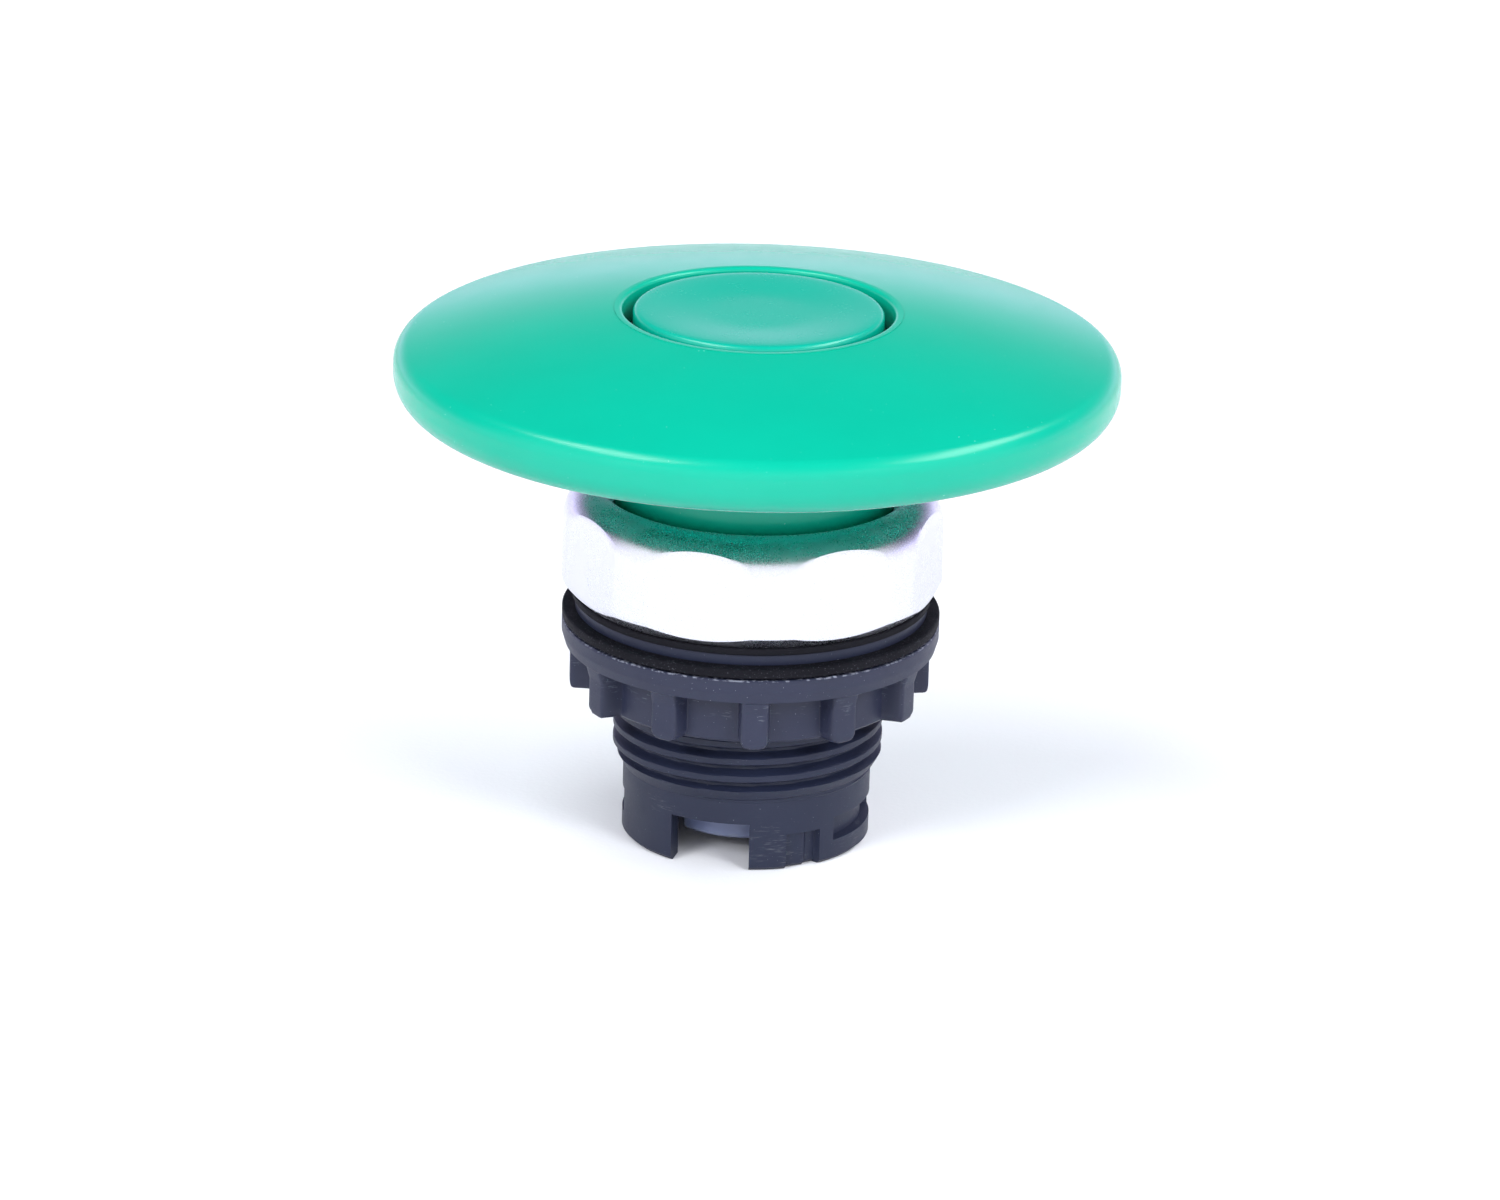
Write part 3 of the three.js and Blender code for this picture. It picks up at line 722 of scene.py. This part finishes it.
def columns_inside(columns, gaps, gap_half):
    """The columns whose cells lie within gap_half degrees of the middle of a gap."""
    inside = np.abs(offset_from(columns + 1e-6, gaps)) < gap_half
    next_inside = np.abs(offset_from(np.roll(columns, -1) - 1e-6, gaps)) < gap_half
    return [i for i in range(len(columns)) if inside[i] and next_inside[i]]


def gap_walls(columns, count, gap_columns, top_row):
    """The walls of a gap in a ring solid that reaches from its foot up to top_row: a ceiling
    and two sides, between the outer rows and the inner rows that mirror them."""

    def outer(i, row):
        return (i % columns) * count + row

    def inner(i, row):
        return (i % columns) * count + count - 1 - row

    faces = []
    skipped = set(gap_columns)
    for i in gap_columns:
        j = i + 1
        faces.append((outer(i, top_row), outer(j, top_row), inner(j, top_row), inner(i, top_row)))
        for side, edge in ((i - 1, i), (i + 1, i + 1)):
            if side % columns in skipped:
                continue
            for row in range(top_row):
                up = row + 1
                faces.append((outer(edge, row), outer(edge, up), inner(edge, up), inner(edge, row)))
    return faces


def bezel():
    """An octagon whose corners and shoulder are turned round. Each column runs straight up a
    facet and then over the shoulder from the height where the facet meets it."""
    corner_half = 180 / BEZEL_FLATS - math.degrees(math.acos(BEZEL_APOTHEM / BEZEL_CORNER_RADIUS))
    corners = [BEZEL_CORNER_BEARING + 360 / BEZEL_FLATS * i for i in range(BEZEL_FLATS)]
    edges = [(corner + side * corner_half) % 360 for corner in corners for side in (-1, 1)]
    columns = samples(0, 360, 1.25, edges, 0.12)[:-1]
    flats = [c + 180 / BEZEL_FLATS for c in corners]
    facet = BEZEL_APOTHEM / np.cos(np.radians(offset_from(columns, flats)))
    outside = np.minimum(facet, BEZEL_CORNER_RADIUS)
    shoulder_bottom = BEZEL_TOP - BEZEL_SHOULDER
    centre_radius = BEZEL_CORNER_RADIUS - BEZEL_SHOULDER
    rise = np.sqrt(np.maximum(BEZEL_SHOULDER**2 - (outside - centre_radius) ** 2, 0))
    shoulder_start = np.degrees(np.arcsin(rise / BEZEL_SHOULDER))
    slope = BEZEL_CHAMFER_HEIGHT / BEZEL_CHAMFER_WIDTH
    low_edge = BEZEL_CORNER_RADIUS - BEZEL_CHAMFER_WIDTH
    wall_bottom = BEZEL_BOTTOM + slope * (outside - low_edge)
    # pairs of close rows keep the two edges of the chamfer crisp
    rows = [
        (BEZEL_COUNTERBORE, BEZEL_BOTTOM),
        (low_edge - 0.05, BEZEL_BOTTOM),
        (low_edge, BEZEL_BOTTOM + 0.04),
    ]
    for share in (0.25, 0.5, 0.75, 0.95):
        width = share * (outside - low_edge)
        rows.append((low_edge + width, BEZEL_BOTTOM + share * (wall_bottom - BEZEL_BOTTOM)))
    rows.append((outside - 0.01, wall_bottom + 0.01))
    rows.append((outside, wall_bottom + 0.06))
    for share in (0.1, 0.3, 0.6, 0.85, 0.97):
        rows.append((outside, wall_bottom + share * (shoulder_bottom + rise - wall_bottom)))
    for share in np.linspace(0, 1, 17)[1:]:
        angle = np.radians(shoulder_start + share * (90 - shoulder_start))
        width = BEZEL_SHOULDER * np.cos(angle)
        rows.append((centre_radius + width, shoulder_bottom + BEZEL_SHOULDER * np.sin(angle)))
    hole = rounded(
        (BEZEL_HOLE, BEZEL_TOP, 0.3),
        (BEZEL_HOLE, BEZEL_CEILING, 0.1),
        (BEZEL_COUNTERBORE, BEZEL_CEILING, 0.1),
        (BEZEL_COUNTERBORE, BEZEL_BOTTOM + 0.3),
    )
    rows += [(r, z) for r, z in hole]
    points = np.stack([placed(columns, r, z) for r, z in rows], 1)
    return new_object("bezel_casting", mesh_of("bezel_casting", *ring_solid(points), 20))


def lock_nut():
    """Each column stands on a rib, beside one or on the slope between. Ribs have rounded edges
    and rounded lower ends; the flange leans in towards them and ends in a step all round."""
    rib_half = 5.4  # half a rib's share of the columns, in degrees
    centres = [NUT_RIB_BEARING + 360 / NUT_RIBS * i for i in range(NUT_RIBS)]
    near = [rib_half + d for d in (-1.8, -1.35, -0.95, -0.6, -0.35, -0.1, 0.1, 0.4, 0.8)]
    close = [(c + s * n) % 360 for c in centres for n in near for s in (-1, 1)]
    columns = samples(0, 360, 0.9, exact=close)[:-1]
    offset = np.abs(offset_from(columns, centres))
    step = NUT_FLANGE_BOTTOM
    step_rows = [step - 0.1 + 0.025 * i for i in range(8)]
    row_gap = 0.12
    rib_middle_radius = 14.2
    rib_inset = 0.12
    end_round = 0.9
    narrowing_degrees, narrowing_depth = 2.2, 0.35  # per millimetre of the rounded lower end
    foot_chamfer, rim_chamfer = 0.25, 0.1
    thread_clearance = 0.3
    burr = burrs(columns, count=34, seed=5)
    outer = []
    for height in samples(NUT_BOTTOM, NUT_TOP, row_gap, exact=step_rows):
        up = height - NUT_BOTTOM
        lean = np.clip((height - NUT_TAPER_BOTTOM) / (NUT_TAPER_TOP - NUT_TAPER_BOTTOM), 0, 1)
        flange_radius = NUT_RIB_RADIUS + (NUT_RADIUS - NUT_RIB_RADIUS) * lean
        on_flange = smoothstep(step - 0.09, step + 0.07, height)
        corner = max(end_round - up, 0)
        narrowing = end_round - math.sqrt(max(end_round**2 - corner**2, 0))
        rib = rib_profile(offset, rib_half - narrowing * narrowing_degrees)
        rib_radius = flange_radius - rib_inset - narrowing * narrowing_depth
        root_radius = NUT_ROOT_RADIUS - max(foot_chamfer - up, 0)
        below_flange = root_radius + (rib_radius - root_radius) * rib
        rim = max(height - (NUT_TOP - rim_chamfer), 0)
        here = below_flange + (flange_radius - below_flange) * on_flange - rim
        close_to_edge = math.exp(-(((height - NUT_TOP + 0.03) / 0.07) ** 2))
        bearings = straightened(columns, centres, rib_half, NUT_RIB_WIDTH / 2, rib_middle_radius)
        proud = burr * close_to_edge
        outer.append(placed(bearings, here + proud * 0.6, height + proud))
    inner = []
    for height in samples(NUT_BOTTOM, NUT_TOP, row_gap)[::-1]:
        inner.append(placed(columns, thread_radius(columns, height) + thread_clearance, height))
    points = np.stack(outer + inner, 1)
    return new_object("nut_moulding", mesh_of("nut_moulding", *ring_solid(points), 40))


def rib_profile(offset, end):
    """How far each column stands out on a rib that ends at an offset in degrees from its
    middle: 1 on the rib, falling a little to its rounded edges and then to 0 beside it."""
    edge_fall = 0.08
    wall = smoothstep(end - 1.3, end + 0.2, offset)
    edge = smoothstep(end - 1.8, end - 0.9, offset)
    return (1 - wall) * (1 - edge_fall * edge)


def burrs(columns, count, seed):
    """Small nicks of flash along an edge: how far each column stands proud, in millimetres."""
    random = np.random.default_rng(seed)
    proud = np.zeros(len(columns))
    for _ in range(count):
        where = random.uniform(0, 360)
        width = random.uniform(0.3, 0.9)
        size = random.uniform(0.02, 0.1)
        away = (columns - where + 180) % 360 - 180
        proud += size * np.exp(-((away / width) ** 2))
    return proud


def tube(name, path, size, sides=12):
    """A closed wire along a path of points in metres."""
    path = np.array(path)
    ahead = np.gradient(path, axis=0)
    ahead /= np.linalg.norm(ahead, axis=1)[:, None]
    up = np.array([0, 0, 1.0])
    side = np.cross(ahead, up)
    side /= np.linalg.norm(side, axis=1)[:, None]
    other = np.cross(side, ahead)
    angles = np.linspace(0, 2 * np.pi, sides, endpoint=False)
    across = side[:, None] * np.cos(angles)[None, :, None]
    ring = across + other[:, None] * np.sin(angles)[None, :, None]
    vertices = (path[:, None] + size * MM * ring).reshape(-1, 3)
    faces = []
    for i in range(len(path) - 1):
        for a in range(sides):
            b = (a + 1) % sides
            faces.append((i * sides + a, i * sides + b, (i + 1) * sides + b, (i + 1) * sides + a))
    faces.append(tuple(range(sides)))
    faces.append(tuple(range(len(vertices) - 1, len(vertices) - 1 - sides, -1)))
    return mesh_of(name, vertices, faces)


def return_spring():
    """A coil with one close-wound turn at each end and open turns between them."""
    turn = np.linspace(0, SPRING_TURNS, SPRING_TURNS * 40 + 1)
    closed = np.minimum(turn, 1) + np.maximum(turn - SPRING_TURNS + 1, 0)
    length = SPRING_TOP - SPRING_BOTTOM - SPRING_WIRE
    open_pitch = (length - 2 * SPRING_END_PITCH) / (SPRING_TURNS - 2)
    climb = SPRING_END_PITCH * closed + open_pitch * (turn - closed)
    path = placed(90 + 360 * turn, SPRING_RADIUS, SPRING_BOTTOM + SPRING_WIRE / 2 + climb)
    return new_object("spring_coil", tube("spring_coil", path, SPRING_WIRE / 2))


def round_piece(name, *corners, around=AROUND):
    return new_object(name, turned(name, rounded(*corners), around))


def plain_ring(name, radii, heights, rounds, around=AROUND):
    """A flat ring between two radii and two heights, with its inner and outer edges rounded."""
    inner, outer = radii
    low, high = heights
    inner_round, outer_round = rounds
    return round_piece(
        name,
        (inner, low, inner_round),
        (outer, low, outer_round),
        (outer, high, outer_round),
        (inner, high, inner_round),
        around=around,
    )


# ---------------- the moving pieces


def mushroom_cap():
    """A shell of dome, rounded rim and ribbed underside, with a pocket for the disc in the
    middle and a long neck below it."""
    dome_centre = CAP_TOP - math.sqrt(DOME_RADIUS**2 - POCKET_RADIUS**2)
    contact = math.acos((CAP_RADIUS - RIM_UPPER_ROUND) / (DOME_RADIUS - RIM_UPPER_ROUND))
    upper_height = dome_centre + (DOME_RADIUS - RIM_UPPER_ROUND) * math.sin(contact)
    upper = (CAP_RADIUS - RIM_UPPER_ROUND, upper_height)
    lower = (CAP_RADIUS - RIM_LOWER_ROUND, RIM_BOTTOM + RIM_LOWER_ROUND)
    lip = 0.35
    dome_start = DOME_RADIUS * math.cos(contact) - 0.5
    dome_end = POCKET_RADIUS + lip * 2
    outline = [
        *arc(lower, RIM_LOWER_ROUND, -90, 0, 14),
        *arc(upper, RIM_UPPER_ROUND, 0, math.degrees(contact), 12),
        *dome_points(DOME_RADIUS, dome_centre, dome_start, dome_end, 24),
        *rounded(
            (dome_end, CAP_TOP - 0.01),
            (POCKET_RADIUS, CAP_TOP, lip),
            (POCKET_RADIUS, HUB_FLOOR_TOP, 0.1),
            (SCREW_HOLE, HUB_FLOOR_TOP, 0.1),
            (SCREW_HOLE, HUB_FLOOR_BOTTOM, 0.1),
            (NECK_BORE, HUB_FLOOR_BOTTOM, 0.3),
            (NECK_BORE, CAP_BOTTOM, 0.2),
            (NECK_RADIUS, CAP_BOTTOM, 0.3),
            (NECK_RADIUS, NECK_TOP),
        ),
    ]
    centres = [360 / CAP_RIBS * (i + 0.5) for i in range(CAP_RIBS)]
    rib_half = 2.5  # half a rib's share of the columns, in degrees
    soft = 0.12
    edges = [(centre + side * rib_half) for centre in centres for side in (-1, 1)]
    columns = samples(0, 360, 1.5, edges, soft)[:-1]
    rows = [placed(columns, r, z) for r, z in outline]
    on_rib = window(np.abs(offset_from(columns, centres)), 0, rib_half, soft, wrap=False)
    neck_fillet = 0.9
    rim_fillet_width, rim_fillet_height = 1.8, 1.4
    fillet_start = RIM_INSIDE - rim_fillet_width
    near_neck = [NECK_RADIUS, 11.6, 11.9]
    near_rim = [26.2, 26.7, RIM_INSIDE]
    for r in np.concatenate([near_neck, np.linspace(12.4, 25.6, 12), near_rim]):
        ceiling = dome_centre + math.sqrt((DOME_RADIUS - CAP_WALL) ** 2 - r**2)
        ceiling -= neck_fillet * max(0, 1 - (r - NECK_RADIUS) / neck_fillet) ** 2
        ceiling -= rim_fillet_height * max(0, (r - fillet_start) / rim_fillet_width) ** 2
        bearings = straightened(columns, centres, rib_half, CAP_RIB_WIDTH / 2, r)
        rows.append(placed(bearings, r, ceiling + (CAP_RIB_BOTTOM - ceiling) * on_rib))
    rows.append(placed(columns, RIM_INSIDE, CAP_RIB_BOTTOM - 0.5))
    rows.append(placed(columns, RIM_INSIDE + 0.02, RIM_BOTTOM + 0.1))
    points = np.stack(rows, 1)
    return new_object("cap_moulding", mesh_of("cap_moulding", *ring_solid(points), 40))


def dome_points(size, centre_height, start, end, steps):
    """Points of an arc round a point on the axis, evenly spread from one radius to another."""
    radii = np.linspace(start, end, steps + 1)
    return np.stack([radii, centre_height + np.sqrt(size**2 - radii**2)], 1)


def centre_disc():
    """A plate with a skirt below it and a shallow dish in its face."""
    edge_round = 0.45
    dish_depth = 0.25
    dish_from, dish_to = DISC_RADIUS - 0.6, 3.5
    skirt_bottom = bottom("centre_disc")
    across = np.linspace(DISC_RADIUS - 1.0, 0, 20)
    depth = dish_depth * smoothstep(dish_from, dish_to, across)
    face = np.stack([across, CAP_TOP - depth], 1)
    # the last two corners only say how the outline leaves the others, and are dropped
    skirt = rounded(
        (DISC_SKIRT_BORE, DISC_PLATE_BOTTOM, 0.1),
        (DISC_SKIRT_BORE, skirt_bottom, 0.1),
        (DISC_RADIUS, skirt_bottom, 0.1),
        (DISC_RADIUS, CAP_TOP, edge_round),
        (DISC_RADIUS - 1.4, CAP_TOP - 0.02),
        (5.0, DISC_PLATE_BOTTOM),
    )
    outline = np.array([(0, DISC_PLATE_BOTTOM), *skirt[:-2], *face])
    return new_object("disc_moulding", turned("disc_moulding", outline))


def screw(name, seat, head_radius, length, down=False):
    """A cross-recessed screw whose head sits on seat and points up or down. The thread is a
    plain cylinder."""
    sign = -1 if down else 1
    tip_radius, tip_height = 1.0, 0.4
    recess_depth, recess_width = 0.6, 0.7
    outline = rounded(
        (0, -length),
        (tip_radius, -length),
        (SCREW_RADIUS, -length + tip_height),
        (SCREW_RADIUS, 0),
        (head_radius, 0, 0.1),
        (head_radius, SCREW_HEAD_HEIGHT, 0.4),
        (0, SCREW_HEAD_HEIGHT),
    )
    outline[:, 1] = seat + sign * outline[:, 1]
    if down:
        outline = outline[::-1]
    thing = new_object(name, turned(name, outline, SCREW_SIDES))
    recess = sorted(seat + sign * (SCREW_HEAD_HEIGHT + up) for up in (-recess_depth, 1))
    for bearing in (0, 90):
        slit = bar_mesh(-head_radius / 2, head_radius / 2, recess_width, bearing, *recess)
        combine(thing, slit, "DIFFERENCE")
    return thing


def plunger():
    """A stem with a head for the spring, four fins in the cap's neck and two lugs that run in
    the housing's keyways."""
    head_bottom, head_top = SPRING_TOP, SPRING_TOP + HEAD_THICKNESS
    insert_hole = INSERT_RADIUS + 0.05
    outline = rounded(
        (SCREW_HOLE, GUIDE_BOTTOM, 0.2),
        (LOWER_STEM_RADIUS, GUIDE_BOTTOM, 0.3),
        (LOWER_STEM_RADIUS, head_bottom, 0.2),
        (HEAD_RADIUS, head_bottom, 0.15),
        (HEAD_RADIUS, head_top, 0.15),
        (STEM_RADIUS, head_top, 0.4),
        (STEM_RADIUS, HUB_FLOOR_BOTTOM, 0.2),
        (insert_hole, HUB_FLOOR_BOTTOM, 0.1),
        (insert_hole, INSERT_BOTTOM),
        (SCREW_HOLE, INSERT_BOTTOM),
    )
    thing = new_object("plunger_moulding", turned("plunger_moulding", outline, 64))
    inset = 0.02
    for i in range(4):
        reach = (STEM_RADIUS - 1, NECK_BORE - 0.4, FIN_WIDTH)
        fin = bar_mesh(*reach, BAYONET_BEARING + 90 * i, FIN_BOTTOM, HUB_FLOOR_BOTTOM - inset)
        combine(thing, fin, "UNION")
    for i in range(2):
        reach = (STEM_RADIUS, LUG_RADIUS, LUG_WIDTH)
        lug = bar_mesh(*reach, BAYONET_BEARING + 180 * i, head_bottom + inset, head_top - inset)
        combine(thing, lug, "UNION")
    return thing


def pusher_foot():
    """A hub with two legs. The cells of the gaps between the legs are left out and walled in."""
    gaps = (NOTCH_BEARING + 90, NOTCH_BEARING + 270)
    gap_half = 90 - FOOT_LEG_HALF_SPAN
    edges = [(gap + side * gap_half) % 360 for gap in gaps for side in (-1, 1)]
    columns = samples(0, 360, 2.5, exact=edges)[:-1]
    chamfer = 0.25
    leg_heights = np.linspace(FOOT_BOTTOM + 2 * chamfer, FOOT_HUB_BOTTOM, 6)
    outline = [(FOOT_RADIUS - chamfer, FOOT_BOTTOM), (FOOT_RADIUS, FOOT_BOTTOM + chamfer)]
    outline += [(FOOT_RADIUS, height) for height in leg_heights]
    top_row = len(outline) - 1
    hub = rounded(
        (FOOT_RADIUS, GUIDE_BOTTOM, 0.2),
        (SCREW_HOLE, GUIDE_BOTTOM, 0.1),
        (SCREW_HOLE, FOOT_HUB_BOTTOM, 0.1),
    )
    inner = [(FOOT_LEG_BORE, height) for height in leg_heights[::-1]]
    inner += [(FOOT_LEG_BORE, FOOT_BOTTOM + chamfer), (FOOT_LEG_BORE + 0.2, FOOT_BOTTOM)]
    outline = np.array([*outline, *hub, *inner])
    points = placed(columns[:, None], outline[None, :, 0], outline[None, :, 1])
    count = points.shape[1]
    gap_rows = [*range(top_row), *range(count - len(inner), count)]
    gap_columns = columns_inside(columns, gaps, gap_half)
    vertices, faces = ring_solid(points, [(i, a) for i in gap_columns for a in gap_rows])
    faces += gap_walls(len(columns), count, gap_columns, top_row)
    return new_object("foot_moulding", mesh_of("foot_moulding", vertices, faces))


# ---------------- the assembly


def fixed_pieces():
    """The housing, and what stays with it: bezel, seals, clamp ring and the spring's lower end."""
    slate = housing_plastic()
    black = rubber("seal_rubber", (0.007, 0.007, 0.010), (0.12, 0.74, (0.04, 0.04, 0.05)))
    finish_piece(operator_housing(), "operator_housing", "housing", slate)
    satin = {"gloss": (0.22, 0.36), "grain": (0.14, 0.006), "tarnish": 0.03}
    chrome = metal("satin_chrome", (0.70, 0.71, 0.77), **satin)
    finish_piece(bezel(), "bezel", "housing", chrome)
    radii = (BEZEL_SEAL_BORE, radius("bezel_seal"))
    ring = plain_ring("bezel_seal_ring", radii, (FLANGE_TOP, BEZEL_BOTTOM), (0.05, 0.12))
    finish_piece(ring, "bezel_seal", "housing", black)
    clamp_top = top("seal_clamp_ring")
    radii = (COLLAR_BORE - 0.1, COLLAR_RADIUS)
    ring = plain_ring("clamp_ring", radii, (bottom("seal_clamp_ring"), clamp_top), (0.1, 0.1))
    finish_piece(ring, "seal_clamp_ring", "housing", slate)
    wiper = round_piece(
        "wiper_ring",
        (WIPER_LIP + 0.6, clamp_top, 0.1),
        (radius("wiper_seal"), clamp_top, 0.1),
        (radius("wiper_seal"), BEZEL_CEILING, 0.1),
        (WIPER_LIP + 0.8, BEZEL_CEILING, 0.1),
        (WIPER_LIP, BEZEL_CEILING - 0.2, 0.05),
        (WIPER_LIP, BEZEL_CEILING - 0.45, 0.05),
    )
    finish_piece(wiper, "wiper_seal", "housing", black)
    wire = metal("spring_wire", (0.66, 0.67, 0.69), gloss=(0.15, 0.3), grain=(0.08, 0.002))
    spring = finish_piece(return_spring(), "return_spring", "housing", wire)
    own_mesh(spring)


def panel_clamp():
    """The gasket and the lock nut that hold the housing in a panel."""
    dust = (0.13, 0.67, (0.045, 0.045, 0.055))
    black = rubber("gasket_rubber", (0.006, 0.006, 0.009), dust)
    radii = (GASKET_BORE, radius("panel_gasket"))
    ring = plain_ring("gasket_ring", radii, (GASKET_BOTTOM, FLANGE_BOTTOM), (0.1, 0.2))
    finish_piece(ring, "panel_gasket", "gasket", black)
    finish_piece(lock_nut(), "lock_nut", "nut", nut_plastic())


def moving_pieces():
    """The mushroom head, and what moves with it: disc, foam ring, fasteners, plunger and foot."""
    steel = metal("zinc_plated_steel", (0.62, 0.62, 0.64), gloss=(0.25, 0.4))
    brass = metal("turned_brass", (0.75, 0.55, 0.25), gloss=(0.2, 0.35))
    foam = rubber("grey_foam", (0.16, 0.17, 0.175), (0.2, 0.7, (0.3, 0.3, 0.3)))
    gloss = (0.35, 0.5)
    dark = moulded("dark_plunger_plastic", (0.015, 0.017, 0.028), gloss)
    grey = moulded("grey_foot_plastic", (0.13, 0.155, 0.27), gloss, wear=(0.2, 0.23, 0.3))
    cap_green = green_plastic(
        "green_cap_plastic", (0.0, 0.33, 0.222), (0.23, 0.27), wave=14.0, speck=0.22, specular=0.3
    )
    disc_green = green_plastic(
        "green_disc_plastic", (0.0, 0.32, 0.232), (0.23, 0.28), wave=9.0, speck=0.2, specular=0.42
    )
    finish_piece(mushroom_cap(), "mushroom_cap", "actuator", cap_green)
    finish_piece(centre_disc(), "centre_disc", "actuator", disc_green)
    radii = (DISC_SKIRT_BORE, POCKET_RADIUS - 0.1)
    heights = (HUB_FLOOR_TOP, bottom("centre_disc"))
    ring = plain_ring("disc_seal_ring", radii, heights, (0.05, 0.1))
    finish_piece(ring, "disc_seal", "actuator", foam)
    radii = (SCREW_HOLE, WASHER_RADIUS)
    heights = (bottom("cap_washer"), top("cap_washer"))
    ring = plain_ring("cap_washer_ring", radii, heights, (0.05, 0.1), SCREW_SIDES)
    finish_piece(ring, "cap_washer", "actuator", steel)
    fastener = screw("cap_screw_turned", top("cap_washer"), *CAP_SCREW)
    finish_piece(fastener, "cap_screw", "actuator", steel)
    fastener = screw("foot_screw_turned", FOOT_HUB_BOTTOM, *FOOT_SCREW, down=True)
    finish_piece(fastener, "foot_screw", "actuator", steel)
    radii = (INSERT_BORE, INSERT_RADIUS)
    heights = (INSERT_BOTTOM, HUB_FLOOR_BOTTOM)
    ring = plain_ring("insert_turned", radii, heights, (0.05, 0.15), SCREW_SIDES)
    finish_piece(ring, "threaded_insert", "actuator", brass)
    finish_piece(plunger(), "plunger", "actuator", dark)
    finish_piece(pusher_foot(), "pusher_foot", "actuator", grey)


# ---------------- stage, lights and camera


def floor():
    reach = 2.5
    corners = [(-reach, -reach, 0), (reach, -reach, 0), (reach, reach, 0), (-reach, reach, 0)]
    thing = new_object("floor", mesh_of("floor", corners, [(0, 1, 2, 3)]))
    pale = (0.80, 0.81, 0.86, 1)
    look = Look("pale_floor", Base_Color=pale, Roughness=0.9, Specular_IOR_Level=0.1)
    look.drive("Normal", look.bump(look.noise(0.5, 2.0), 0.02))
    thing.data.materials.append(look.material)


def softbox(name, power, size, place, glossy=True):
    """A lamp turned towards the button; size is its width and height in metres. Unless it is
    glossy, it doesn't show in reflections."""
    light = bpy.data.lights.new(name, "AREA")
    light.energy = power
    light.shape = "RECTANGLE"
    light.size, light.size_y = size
    thing = new_object(name, light)
    thing.location = place
    thing.rotation_euler = (BUTTON_MIDDLE - Vector(place)).to_track_quat("-Z", "Y").to_euler()
    thing.visible_glossy = glossy


def lights():
    """Two softboxes overhead and two fills from the front corners."""
    softbox("left_softbox", 5.0, (0.63, 0.27), (-0.415, -0.06, 0.9))
    softbox("right_softbox", 6.2, (0.8, 0.28), (0.62, 0.12, 0.85))
    softbox("left_fill", 4.5, (0.28, 0.28), (-0.5, -0.57, 0.52), glossy=False)
    softbox("right_fill", 4.5, (0.28, 0.28), (0.5, -0.57, 0.52), glossy=False)


def backdrop():
    """The world round the button: bright at the horizon and dark above it, with one run of
    brightness behind the button and another in front."""
    world = bpy.data.worlds.new("studio")
    bpy.context.scene.world = world
    world.use_nodes = True
    tree = world.node_tree
    background = tree.nodes["Background"]
    background.inputs["Strength"].default_value = STRONGEST_LIGHT
    place = tree.nodes.new("ShaderNodeTexCoord").outputs["Generated"]
    parts = tree.nodes.new("ShaderNodeSeparateXYZ")
    tree.links.new(place, parts.inputs[0])
    back = brightness_ramp(tree, parts.outputs["Z"], BACK_STOPS, (0.88, 0.83, 1.2))
    front = brightness_ramp(tree, parts.outputs["Z"], FRONT_STOPS, (0.97, 0.98, 1.0))
    turn = tree.nodes.new("ShaderNodeMapRange")
    turn.interpolation_type = "SMOOTHSTEP"
    turn.inputs["From Min"].default_value = -0.3
    turn.inputs["From Max"].default_value = 0.3
    tree.links.new(parts.outputs["Y"], turn.inputs["Value"])
    both = tree.nodes.new("ShaderNodeMix")
    both.data_type = "RGBA"
    factor, first, second = both.inputs[0], both.inputs[6], both.inputs[7]  # the colour sockets
    tree.links.new(turn.outputs["Result"], factor)
    tree.links.new(front, first)
    tree.links.new(back, second)
    tree.links.new(both.outputs[2], background.inputs["Color"])


def brightness_ramp(tree, value, stops, tint):
    """A colour ramp of tint through (position, brightness) stops."""
    made = tree.nodes.new("ShaderNodeValToRGB")
    made.color_ramp.interpolation = "B_SPLINE"
    elements = made.color_ramp.elements
    while len(elements) < len(stops):
        elements.new(0.5)
    for element, (position, brightness) in zip(elements, stops):
        element.position = position
        element.color = (*(brightness / STRONGEST_LIGHT * share for share in tint), 1)
    tree.links.new(value, made.inputs[0])
    return made.outputs[0]


def camera():
    """A long lens from the front that looks down at the button, with a slight roll."""
    data = bpy.data.cameras.new("camera")
    data.sensor_width = 36
    data.lens = LENS
    data.clip_start = 0.05
    thing = new_object("camera", data)
    back = Vector((0, -math.cos(CAMERA_ELEVATION), math.sin(CAMERA_ELEVATION)))
    thing.location = CAMERA_TARGET + CAMERA_DISTANCE * back
    facing = (CAMERA_TARGET - thing.location).to_track_quat("-Z", "Y")
    thing.rotation_euler = (facing @ Quaternion((0, 0, 1), CAMERA_ROLL)).to_euler()
    bpy.context.scene.camera = thing


fixed_pieces()
panel_clamp()
moving_pieces()
floor()
lights()
backdrop()
camera()
scene = bpy.context.scene
scene.view_settings.view_transform = "Standard"
scene.view_settings.look = "None"
